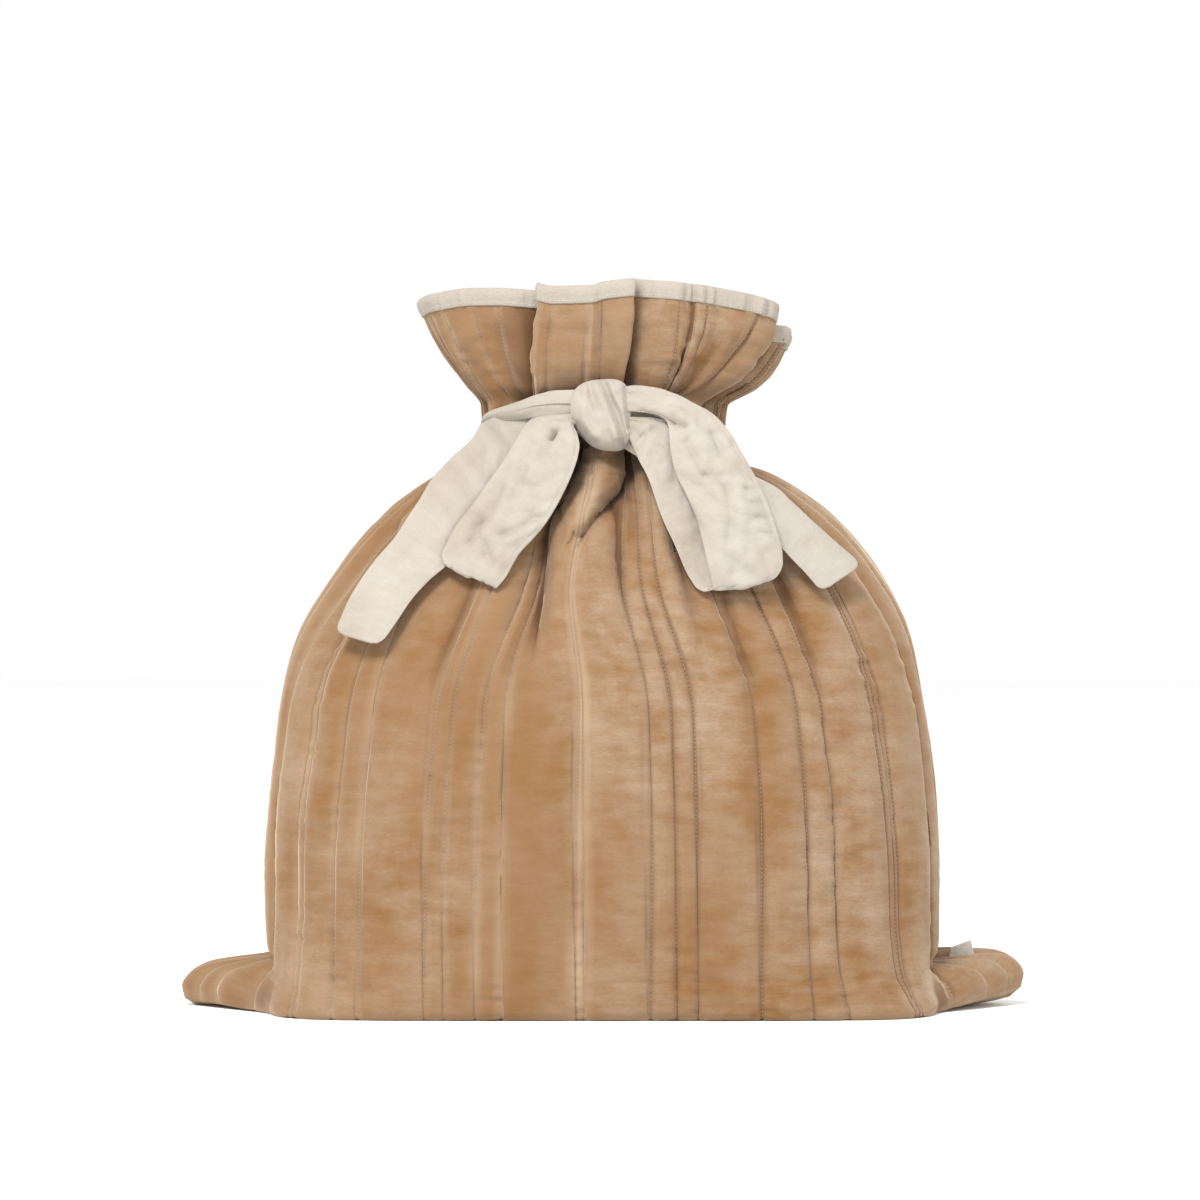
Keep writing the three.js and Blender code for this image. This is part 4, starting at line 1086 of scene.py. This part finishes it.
TIE_CREASES = (  # depth, width on the left, width on the right, places as x and z
    (3.6, 5, 2.6, ((-70.6, 366.8), (-80, 350), (-90.7, 330.8))),
    (-1.8, 5, 5, ((-62, 366), (-72, 348), (-81, 332))), (2.2, 4, 2.4, ((-54.0, 378.7), (-61.7, 360.7))),
    (2.6, 3, 3, ((-43.6, 346.3), (-56, 338), (-68.0, 334.9))),
    (-1.8, 4, 4, ((-45, 340), (-66, 329))), (2.2, 2.6, 2.6, ((-81.2, 327.3), (-76.7, 313.1))),
    (5.5, 2.4, 2.4, ((-34, 406), (-36, 402))), (1.8, 6, 6, ((-100, 322), (-104, 319))),
    (1.8, 3, 3, ((-93, 362), (-103, 345))), (1.6, 3, 3, ((-52, 400), (-57, 380))),
    (2.4, 3.6, 3.6, ((70.2, 375.6), (81.1, 374.6))),
    (2.0, 3, 3, ((85.9, 368.5), (88.9, 344.8), (85.9, 325.1), (89.9, 307.2))),
    (-1.6, 4, 4, ((93, 366), (97, 343), (95, 322))), (1.5, 2, 2, ((96.0, 376.6), (105, 373))),
    (1.7, 1.8, 1.8, ((99, 366), (108, 365))), (1.8, 1.8, 1.8, ((102, 356), (112, 356))),
    (1.7, 1.8, 1.8, ((105, 346), (115, 345))), (1.5, 1.8, 1.8, ((107, 336), (117, 334))),
    (3.0, 2.2, 2.2, ((26.7, 418.0), (36.1, 416.5), (45.8, 413.2), (53.4, 410.4), (58, 409))),
    (2.2, 2.4, 2.4, ((23, 401.8), (31, 405.5), (39.6, 410.1))), (2, 3, 3, ((58, 398), (66, 384), (70, 376))),
    (1.8, 3, 3, ((76, 404), (84, 390))),
)
print("stations:", [len(part) for part in (LOOP_LEFT, LOOP_RIGHT, TAIL_LEFT, TAIL_RIGHT)])

# %% Sweep a soft flat tube along its stations
TIE_HALF = 1.05  # half the thickness of the flat tube
TIE_COLUMNS, TIE_ROW_PITCH = 34, 1.4
CORNER_RADIUS = 7  # of a free end
EDGE_SEAM, SEAM_RAISED, SEAM_WIDTH = 2.8, 0.45, 0.6  # the tube's seam beside one edge
KNOT_CREASE, SQUEEZE_REACH = 1.7, 26  # creases run out of the knot, this deep and this far
TIE_DENTS = 1.5  # how deep the creases of the table are pressed
TIE_ROUND = 120  # the map's way round the tube to its inner face
TIE_LUMPS = ((1.5, 12, 19, 0.35), (1.1, 6, 8, 0), (0.45, 3.2, 4.5, 0))  # strength, knots apart, slant


def strip_points(stations, seed, free_end, crumple):
    table = np.array(stations, float)
    middle = (table[:, 0:3] + table[:, 3:6]) / 2
    run = length_along(middle)
    at = np.linspace(0, run[-1], int(run[-1] / TIE_ROW_PITCH))
    row = np.stack([smooth(run, table[:, i], at) for i in range(7)], axis=-1)
    width = np.linalg.norm(row[:, 3:6] - row[:, 0:3], axis=1)
    past_corner = np.clip(CORNER_RADIUS - at[-1] + at, 0, CORNER_RADIUS)
    cut = CORNER_RADIUS - np.sqrt(CORNER_RADIUS ** 2 - past_corner ** 2)
    shrink = 1 - 2 * cut / width if free_end else np.ones_like(at)
    share = 0.5 - 0.5 * np.cos(np.linspace(0, math.pi, TIE_COLUMNS))
    span = 0.5 + (share - 0.5) * shrink[:, None]
    x, z, y = (mix(row[:, [i]], row[:, [i + 3]], span) for i in (0, 1, 2))
    y = y - row[:, [6]] * 4 * span * (1 - span)
    points = np.stack([x, y, z], axis=-1)
    normal = normals_of(points)
    along, across = at[:, None] + 0 * share, span * width[:, None]
    from_knot = along if free_end else np.minimum(along, at[-1] - along)
    crease = KNOT_CREASE * np.exp(-from_knot / SQUEEZE_REACH) * np.sin(share * 3.6 * math.pi + seed)
    lump = sum(strength * uneven(across + slant * along, along, wide, tall, seed + i)
               for i, (strength, wide, tall, slant) in enumerate(TIE_LUMPS))
    seam = SEAM_RAISED * hump(across, width[:, None] - EDGE_SEAM, SEAM_WIDTH)
    dent = 0 if free_end else TIE_DENTS * trough(x, z, TIE_CREASES)
    edge = np.sin(math.pi * share) ** 0.35
    forwards = np.where(normal[..., 1] < 0, 1, -1)
    points = points + normal * ((crease + crumple * lump) * edge - forwards * (dent * edge + seam))[..., None]
    wall = TIE_HALF * np.sqrt(np.clip(1 - (2 * share - 1) ** 6, 0, 1)) + 0.05
    normal = normals_of(points)
    over, under = points + normal * wall[:, None], points - normal * wall[:, None]
    tube = np.concatenate([over, under[:, ::-1]], axis=1)
    tube = np.concatenate([tube, tube[:, :1]], axis=1)
    around = np.concatenate([across, TIE_ROUND - across[:, ::-1], across[:, :1] + TIE_ROUND], axis=1)
    up = np.concatenate([along, along[:, ::-1], along[:, :1]], axis=1)
    return tube, np.stack([around, up], axis=-1) * MM


def close_ends(bm):
    bmesh.ops.holes_fill(bm, edges=[edge for edge in bm.edges if edge.is_boundary], sides=0)
    bmesh.ops.recalc_face_normals(bm, faces=bm.faces)


def strip_piece(name, stations, seed, free_end, crumple):
    tube, flat = strip_points(stations, seed, free_end, crumple)
    piece = laid_grid(name, tube, flat, weld=0.00004)
    reworked(piece.data, close_ends)
    print(name, "has", len(piece.data.polygons), "faces")
    return piece


LOOP_CRUMPLE, TAIL_CRUMPLE = 1.3, 0.45
loop_left = strip_piece("bow_loop_left", LOOP_LEFT, 3, False, LOOP_CRUMPLE)
loop_right = strip_piece("bow_loop_right", LOOP_RIGHT, 4, False, LOOP_CRUMPLE)
tail_left = strip_piece("bow_tail_left", TAIL_LEFT, 5, True, TAIL_CRUMPLE)
tail_right = strip_piece("bow_tail_right", TAIL_RIGHT, 6, True, TAIL_CRUMPLE)

# %% [markdown]
# ## Band and knot
#
# The band is the part of the strip that goes round the neck. It is bunched, so its outside shows soft
# pleats that run round it. In front it is wide beside the knot and narrows to the left, where the
# folds of the velvet close over it. The knot is a squeezed lump with the strip wrapped over it. Most
# of a tied knot is hidden, so it is a boxy ball, with upright creases in its face that lean to the
# right.

# %% Walk the band round the neck
BAND_FRONT = np.array([  # share of the outline, middle, height, way out
    (-1, 414, 4, -1), (-0.9, 416, 4, 0.2), (-0.8, 417.6, 5.5, 2.5), (-0.7, 418.8, 8, 5),
    (-0.58, 420, 10.5, 9.5), (-0.46, 421.9, 13.5, 15), (-0.36, 424.3, 16, 19), (-0.22, 425.7, 19, 23),
    (0, 424, 20, 22), (0.2, 420, 19, 12), (0.4, 413, 16, 7), (0.7, 407, 13, 2), (0.9, 404, 10, 0.4),
    (1, 403, 10, 0),
])
BAND_BACK = np.array([
    (-1, 414, 4, -1), (-0.9, 410, 9, 1.5), (-0.7, 405, 15, 3), (0, 402, 17, 3.5), (0.7, 403, 16, 3),
    (0.92, 403, 11, 0.6), (1, 403, 10, 0),
])
NECK = {"left": 86, "right": 87, "front": 53, "back": 51, "square": 2.2}
BAND_STOPS, BAND_TURNS = 200, 41
PLEATS, PLEAT, PLEAT_LUMP, EDGE_LUMP = 3, 0.9, 1.1, 0.5  # pleats round its section, and heights


def plain_map(points, wide, tall):
    """A flat map, in metres, that runs evenly over the columns and rows of a grid."""
    rows, columns = points.shape[:2]
    return np.stack(np.meshgrid(np.linspace(0, wide, columns), np.linspace(0, tall, rows)), axis=-1)


def band_points():
    rows = []
    for facing, table in ((-1, BAND_FRONT), (1, BAND_BACK)):
        share = np.linspace(-1, 1, BAND_STOPS) * (-facing)
        left, right = (outline(NECK[name], depth_of(NECK, facing), NECK["square"], np.abs(share))
                       for name in ("left", "right"))
        px, py, nx, ny = [np.where(share < 0, a, b) for a, b in zip(left, right)]
        hand = np.where(share < 0, -1, 1)
        middle, height, way_out = (column_at(table, i, share) for i in (1, 2, 3))
        angle = np.linspace(0, 1, BAND_TURNS)[:, None] * 2 * math.pi
        pleat = PLEAT * np.sin(angle * PLEATS + 1.3 + 0.5 * share)
        pleat = pleat + PLEAT_LUMP * uneven(px * hand, angle * 9, 16, 5, 8)
        pleat = pleat * np.clip(height / 14, 0.2, 1)
        half_thick = np.clip(height * 0.22, 1.0, 3.4)
        out = way_out + half_thick * np.cos(angle) + pleat * (np.cos(angle) > 0) * np.cos(angle)
        x, y = hand * (px + nx * out), facing * (py + ny * out)
        rise = np.sign(np.sin(angle)) * np.abs(np.sin(angle)) ** 0.8
        z = middle + rise * height / 2 + EDGE_LUMP * uneven(px * hand, angle * 5, 10, 4, 9)
        rows.append(np.stack([x, y, z + 0 * x], axis=-1))
    return np.concatenate(rows, axis=1)


band = band_points()
tie_band = laid_grid("bow_band", band, plain_map(band, 0.46, 0.05), weld=0.00005)
print("band has", len(tie_band.data.polygons), "faces")

# %% Squeeze and crease the knot, a boxy ball
KNOT_MIDDLE = np.array([0, -73.2, 417.5])
KNOT_HALF = np.array([1, 15.5, 25])
KNOT_SIDES = np.array([  # z, left side, right side
    (390, -12, 20.5), (396, -13.5, 21), (405, -17.5, 20.5), (416, -22, 19.5), (430, -23.5, 20),
    (445, -21, 21),
])
KNOT_CREASES = (  # depth, width on the left, width on the right, places as x and z
    (3.4, 2.4, 3.2, ((-11, 443), (-8, 432), (-4, 421))),
    (5.2, 3.2, 2.2, ((0, 442), (5, 429), (11, 417), (15, 402), (15.5, 394))),
    (-2.6, 3.2, 3.2, ((-1, 430), (5, 416), (9, 402))), (1.8, 2.4, 2.2, ((3, 405), (6, 399), (8, 391))),
    (4.0, 2.2, 1.6, ((16.5, 436), (17.5, 422), (18.5, 408))),
    (-2.2, 3.5, 3.5, ((-15, 430), (-14, 415), (-7, 402))),
    (2.4, 3.0, 3.0, ((-18, 411), (-10, 402), (-5, 397))), (1.8, 2.5, 2.5, ((-16, 436), (-15, 426))),
)
KNOT_ROWS, KNOT_COLUMNS = 91, 161
KNOT_BOXY = 0.66  # 1 is a plain ball, less is squarer


def boxy(value):
    return np.sign(value) * np.abs(value) ** KNOT_BOXY


def knot_points():
    climb = np.linspace(-math.pi / 2, math.pi / 2, KNOT_ROWS)
    turn = np.linspace(-math.pi, math.pi, KNOT_COLUMNS)
    c, t = np.meshgrid(climb, turn, indexing="ij")
    x, y, z = boxy(np.cos(c) * np.sin(t)), -boxy(np.cos(c) * np.cos(t)), boxy(np.sin(c))
    place = KNOT_MIDDLE + np.stack([0 * x, y, z * (1 + 0.05 * x)], axis=-1) * KNOT_HALF
    left, right = (column_at(KNOT_SIDES, i, place[..., 2]) for i in (1, 2))
    place[..., 0] = mix(left, right, (x + 1) / 2)
    dent = trough(place[..., 0], place[..., 2], KNOT_CREASES)
    lump = uneven(place[..., 0], place[..., 2], 8, 11, 12)
    lump = lump + 0.5 * uneven(place[..., 0], place[..., 2], 4, 5, 13)
    place[..., 1] += (dent - lump * np.cos(c) ** 0.5) * ease(0.3 - y)
    return place


knot = knot_points()
tie_knot = laid_grid("bow_knot", knot, plain_map(knot, 0.12, 0.05), flip=True, weld=0.00005)
print("knot has", len(tie_knot.data.polygons), "faces")

# %% [markdown]
# ## The side label
#
# A small woven tab stands in the seam over the right corner. A cut block would be stiff. The tab is a
# folded tape, so one grid goes up in front and comes down behind, and the tape bends forwards a little.

# %% Fold the tab
TAB_FOOT = ((245.6, 27), (266.6, 30))  # x and z of its two corners in the seam
TAB_TOP = ((247.8, 41), (262, 46.5))
TAB_HALF, TAB_LEAN, TAB_CURVE = 0.45, 1.6, 0.5  # half its thickness, and how it bends forwards


def tab_points():
    up, along = np.linspace(0, 1, 14)[:, None], np.linspace(0, 1, 22)
    x, z = (mix(mix(TAB_FOOT[0][i], TAB_FOOT[1][i], along), mix(TAB_TOP[0][i], TAB_TOP[1][i], along), up)
            for i in (0, 1))
    forwards = TAB_LEAN * up * up + TAB_CURVE * np.sin(along * math.pi) * up
    middle = np.stack([x, -forwards, z], axis=-1)
    wall = normals_of(middle) * TAB_HALF
    return np.concatenate([middle + wall, (middle - wall)[::-1]], axis=0)


tab = tab_points()
side_label = laid_grid("side_tab", tab, plain_map(tab, 0.0205, 0.024))
print("tab has", len(side_label.data.polygons), "faces")

# %% [markdown]
# ## Materials
#
# Velvet looks light where its pile is seen from the side, which the sheen of the shader gives. Its
# colour also changes in soft patches, where the pile has been brushed, and in fine streaks. Those
# effects are one shared group, so that every cloth here can use it with its own colours and strengths.

# %% Helpers for shader nodes


def add_node(tree, kind, **values):
    node = tree.nodes.new(kind)
    for key, value in values.items():
        setattr(node, key, value)
    return node


def group_with(name, inputs, outputs):
    tree = bpy.data.node_groups.new(name, "ShaderNodeTree")
    for title, kind, value in inputs:
        socket = tree.interface.new_socket(name=title, in_out="INPUT", socket_type=kind)
        socket.default_value = value
    for title, kind in outputs:
        tree.interface.new_socket(name=title, in_out="OUTPUT", socket_type=kind)
    return tree, tree.nodes.new("NodeGroupInput"), tree.nodes.new("NodeGroupOutput")


def fill(tree, sockets, values):
    """Each value is a number, a colour or the output of another node."""
    for socket, value in zip(sockets, values):
        if isinstance(value, (int, float)):
            socket.default_value = value
        elif isinstance(value, tuple):
            socket.default_value = (*value, 1) if socket.type == "RGBA" else value
        else:
            tree.links.new(value, socket)


def math_node(tree, operation, *values, clamp=False):
    node = add_node(tree, "ShaderNodeMath", operation=operation, use_clamp=clamp)
    fill(tree, node.inputs, values)
    return node.outputs[0]


def mix_colours(tree, share, a, b):
    node = add_node(tree, "ShaderNodeMix", data_type="RGBA")
    fill(tree, (node.inputs[0], node.inputs[6], node.inputs[7]), (share, a, b))
    return node.outputs[2]


def noise(tree, flat, stretch, size, detail, roughness=0.5):
    """Flat noise whose spots are stretched the most where the stretch is smallest."""
    mapping = add_node(tree, "ShaderNodeMapping")
    texture = add_node(tree, "ShaderNodeTexNoise", noise_dimensions="2D")
    fill(tree, (mapping.inputs["Scale"], mapping.inputs[0]), (stretch, flat))
    fill(tree, [texture.inputs[name] for name in ("Scale", "Detail", "Roughness", "Vector")],
         (size, detail, roughness, mapping.outputs[0]))
    return texture.outputs[0]


print("shader helpers ready")

# %% The pile group: brushed patches, fine pile and its relief
PILE_HEIGHT = 0.0006  # in metres
PATCH_CONTRAST, PATCH_START, SMUDGE_CONTRAST = 2.4, -1.3, 1.3
STREAK_SHARE = 0.55
GRAIN_MIDDLE = 0.5 + 0.5 * STREAK_SHARE  # noise lies round 0.5
ROUGH_FROM, ROUGH_MORE = 0.82, 0.12


def pile_group():
    tree, inside, outside = group_with(
        "pile",
        [("Light", "NodeSocketColor", (1, 1, 1, 1)), ("Deep", "NodeSocketColor", (0.5, 0.5, 0.5, 1)),
         ("Patches", "NodeSocketFloat", 0.6), ("Grain", "NodeSocketFloat", 0.2),
         ("Relief", "NodeSocketFloat", 0.2)],
        [("Color", "NodeSocketColor"), ("Roughness", "NodeSocketFloat"), ("Normal", "NodeSocketVector")],
    )
    flat = add_node(tree, "ShaderNodeUVMap", uv_map="cloth").outputs[0]
    patch = noise(tree, flat, (1, 0.55, 1), 22, 4, 0.55)
    grain = noise(tree, flat, (0.35, 1, 1), 900, 3)
    smudge = noise(tree, flat, (0.4, 1, 1), 95, 3)
    streak = noise(tree, flat, (0.12, 1, 1), 420, 2)
    spread = math_node(tree, "MULTIPLY_ADD", patch, PATCH_CONTRAST, PATCH_START)
    spread = math_node(tree, "MULTIPLY_ADD", smudge, SMUDGE_CONTRAST, spread)
    share = math_node(tree, "MULTIPLY", spread, inside.outputs["Patches"], clamp=True)
    colour = mix_colours(tree, share, inside.outputs["Light"], inside.outputs["Deep"])
    fine = math_node(tree, "MULTIPLY_ADD", streak, STREAK_SHARE, grain)
    fine = math_node(tree, "SUBTRACT", fine, GRAIN_MIDDLE)
    fine = math_node(tree, "MULTIPLY", fine, inside.outputs["Grain"])
    shade = add_node(tree, "ShaderNodeVectorMath", operation="SCALE")
    fill(tree, (shade.inputs[0], shade.inputs["Scale"]), (colour, math_node(tree, "ADD", fine, 1)))
    bump = add_node(tree, "ShaderNodeBump")
    fill(tree, [bump.inputs[name] for name in ("Distance", "Strength", "Height")],
         (PILE_HEIGHT, inside.outputs["Relief"], grain))
    rough = math_node(tree, "MULTIPLY_ADD", grain, ROUGH_MORE, ROUGH_FROM)
    fill(tree, [outside.inputs[name] for name in ("Color", "Roughness", "Normal")],
         (shade.outputs[0], rough, bump.outputs[0]))
    return tree


PILE = pile_group()
print("pile group has", len(PILE.nodes), "nodes")

# %% A cloth material with that pile


def cloth_material(name, light, deep, patches, grain, relief_strength, sheen, sheen_rough, sheen_tint):
    material = bpy.data.materials.new(name)
    material.use_nodes = True
    tree = material.node_tree
    shader = tree.nodes["Principled BSDF"]
    pile = add_node(tree, "ShaderNodeGroup", node_tree=PILE)
    fill(tree, pile.inputs, (light, deep, patches, grain, relief_strength))
    looks = {
        "Base Color": pile.outputs["Color"], "Roughness": pile.outputs["Roughness"],
        "Normal": pile.outputs["Normal"], "Specular IOR Level": 0.15, "Sheen Weight": sheen,
        "Sheen Roughness": sheen_rough, "Sheen Tint": sheen_tint,
    }
    fill(tree, [shader.inputs[socket] for socket in looks], looks.values())
    return material


TAN_LIGHT, TAN_DEEP = (0.280, 0.204, 0.138), (0.185, 0.090, 0.032)
WARM, PALE, MILKY = (1.0, 0.82, 0.62), (1.0, 0.9, 0.8), (1.0, 0.97, 0.92)
CLOTHS = (  # name, light, deep, patches, grain, relief, sheen with its roughness and tint
    ("velvet", TAN_LIGHT, TAN_DEEP, 0.85, 0.4, 0.35, 0.4, 0.45, WARM),
    ("tie_velvet", (0.374, 0.338, 0.292), (0.30, 0.255, 0.203), 0.6, 0.12, 0.3, 0.3, 0.4, MILKY),
    ("binding", (0.354, 0.315, 0.268), (0.29, 0.25, 0.205), 0.5, 0.2, 0.5, 0.1, 0.5, MILKY),
    ("lining", (0.3, 0.21, 0.13), (0.25, 0.17, 0.1), 0.5, 0.3, 0.5, 0.1, 0.5, PALE),
    ("label", (0.45, 0.42, 0.37), (0.4, 0.37, 0.32), 0.3, 0.3, 0.8, 0.05, 0.5, MILKY),
    ("quilting_thread", (0.32, 0.23, 0.145), (0.26, 0.18, 0.11), 0.5, 0.3, 0.4, 0.1, 0.5, PALE),
    ("binding_thread", (0.46, 0.43, 0.38), (0.4, 0.37, 0.32), 0.4, 0.2, 0.4, 0.1, 0.5, MILKY),
)
finish = {name: cloth_material(name, *looks) for name, *looks in CLOTHS}
print("materials:", [m.name for m in bpy.data.materials if m.users])

# %% [markdown]
# ## Colours that follow the sewing
#
# The notes beside the points come in here. Brushed pile turns to the deeper tan, and the left half is painted
# deeper still as side shading. Folds and the cloth round the tie are painted brown as shade, and raised
# places get a painted highlight. The two sides of a line are lighter where the pile parts, with a painted
# highlight that is stronger on the left half, and the line itself is a thin dark gap with painted groove
# shade. Each is a layer of colour over the last one.

# %% Layers of colour over the tan velvet
TAN_PAINTED_SHADE = (0.07, 0.026, 0.009)
LIGHT_PILE_AND_HIGHLIGHT, LINE_GAP_AND_SHADE = (0.36, 0.262, 0.172), (0.12, 0.06, 0.03)
PER_MM_PAINTED_SHADE, PER_MM_PAINTED_HIGHLIGHT = 0.3, -0.12  # how fast a hollow shows its painted shade, and a raised place its painted highlight
NAP_AND_SIDE_SHADE_SHARE, PAINTED_SHADE_SHARE, PAINTED_HIGHLIGHT_SHARE, FUZZ_AND_HIGHLIGHT_SHARE, SLIT_AND_SHADE_SHARE = 0.75, 0.85, 0.2, 0.8, 1.3


def dress_lines():
    tree = finish["velvet"].node_tree
    slit_and_groove_shade, nap_and_side_shade, fuzz_and_highlight, hollow = (add_node(tree, "ShaderNodeAttribute", attribute_name=note).outputs["Fac"]
                               for note in ("slit_and_groove_shade", "nap_and_side_shade", "fuzz_and_highlight", "hollow"))
    base_colour = tree.nodes["Principled BSDF"].inputs["Base Color"]
    colour = base_colour.links[0].from_socket
    # painted shade in folds and at the tie, and a painted highlight on ridges, both from the depth note
    deep = math_node(tree, "MULTIPLY", math_node(tree, "MAXIMUM", hollow, 0), PER_MM_PAINTED_SHADE, clamp=True)
    raised = math_node(tree, "MULTIPLY", math_node(tree, "MINIMUM", hollow, 0), PER_MM_PAINTED_HIGHLIGHT, clamp=True)
    for note, share, over in ((nap_and_side_shade, NAP_AND_SIDE_SHADE_SHARE, TAN_DEEP), (deep, PAINTED_SHADE_SHARE, TAN_PAINTED_SHADE),
                              (raised, PAINTED_HIGHLIGHT_SHARE, LIGHT_PILE_AND_HIGHLIGHT), (fuzz_and_highlight, FUZZ_AND_HIGHLIGHT_SHARE, LIGHT_PILE_AND_HIGHLIGHT),
                              (slit_and_groove_shade, SLIT_AND_SHADE_SHARE, LINE_GAP_AND_SHADE)):
        colour = mix_colours(tree, math_node(tree, "MULTIPLY", note, share, clamp=True), colour, over)
    tree.links.new(colour, base_colour)


dress_lines()
print("velvet material has", len(finish["velvet"].node_tree.nodes), "nodes")

# %% [markdown]
# ## Light and floor
#
# The sack stands on a pale floor in even light. The bright surroundings alone would make it look
# flat. A large soft lamp high on the left gives the shape, and a weaker one on the right opens the
# shadows.

# %% Floor, lamps and surroundings


def area_lamp(name, place, aim, size, power):
    data = bpy.data.lights.new(name, "AREA")
    data.shape = "RECTANGLE"
    data.size = data.size_y = size
    data.energy = power
    lamp = placed(name, data)
    lamp.location = place
    x, y, z = np.array(aim, float) - np.array(place, float)
    lamp.rotation_euler = (math.atan2(math.hypot(x, y), -z), 0, math.atan2(y, x) - math.pi / 2)


def pale_floor():
    bm = bmesh.new()
    bmesh.ops.create_grid(bm, x_segments=1, y_segments=1, size=14)
    floor = placed("floor", mesh_of(bm, "floor"))
    material = bpy.data.materials.new("floor")
    material.use_nodes = True
    inputs = material.node_tree.nodes["Principled BSDF"].inputs
    fill(material.node_tree, (inputs["Base Color"], inputs["Roughness"]), ((0.98, 0.98, 0.98), 0.9))
    floor.data.materials.append(material)


AIM = (0, 0, 0.3)
pale_floor()
area_lamp("key", (-0.75, -2.2, 2.5), AIM, 0.9, 110)
area_lamp("fill", (1.9, -2.1, 1.3), AIM, 1.6, 14)
world = bpy.data.worlds.new("studio")
world.use_nodes = True
fill(world.node_tree, world.node_tree.nodes["Background"].inputs, ((1, 1, 1), 1.0))
bpy.context.scene.world = world
bpy.context.scene.view_settings.view_transform = "Standard"

# %% [markdown]
# ## Joining the pieces to the measured model
#
# Each piece gets its material and moves with the only body. The pieces that stand for a measured solid say
# which one, and that solid is hidden. The lining and the stitching add to the measured model.

# %% Give every piece its material and body
PIECES = (  # piece, finish, slot, the solid that it replaces
    (front_velvet, "velvet", "velvet", "front_panel"),
    (back_velvet, "velvet", "velvet", "back_panel"),
    (front_lining, "lining", "velvet", None),
    (back_lining, "lining", "velvet", None),
    (front_quilting, "quilting_thread", "velvet", None),
    (back_quilting, "quilting_thread", "velvet", None),
    (mouth_binding, "binding", "binding", "mouth_binding"),
    (binding_stitching, "binding_thread", "binding", None),
    (tie_band, "tie_velvet", "tie_velvet", "tie_band"),
    (tie_knot, "tie_velvet", "tie_velvet", "tie_knot"),
    (loop_left, "tie_velvet", "tie_velvet", "tie_loop_left"),
    (loop_right, "tie_velvet", "tie_velvet", "tie_loop_right"),
    (tail_left, "tie_velvet", "tie_velvet", "tie_tail_left"),
    (tail_right, "tie_velvet", "tie_velvet", "tie_tail_right"),
    (side_label, "label", "label", "side_label"),
)
for piece, cloth, slot, solid in PIECES:
    piece.data.materials.append(finish[cloth])
    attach(piece, "root")
    if solid:
        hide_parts(solid)
print(len(PIECES), "pieces ride on the body")

# %% Sheet sizes
print("no sheet sizes are set here")
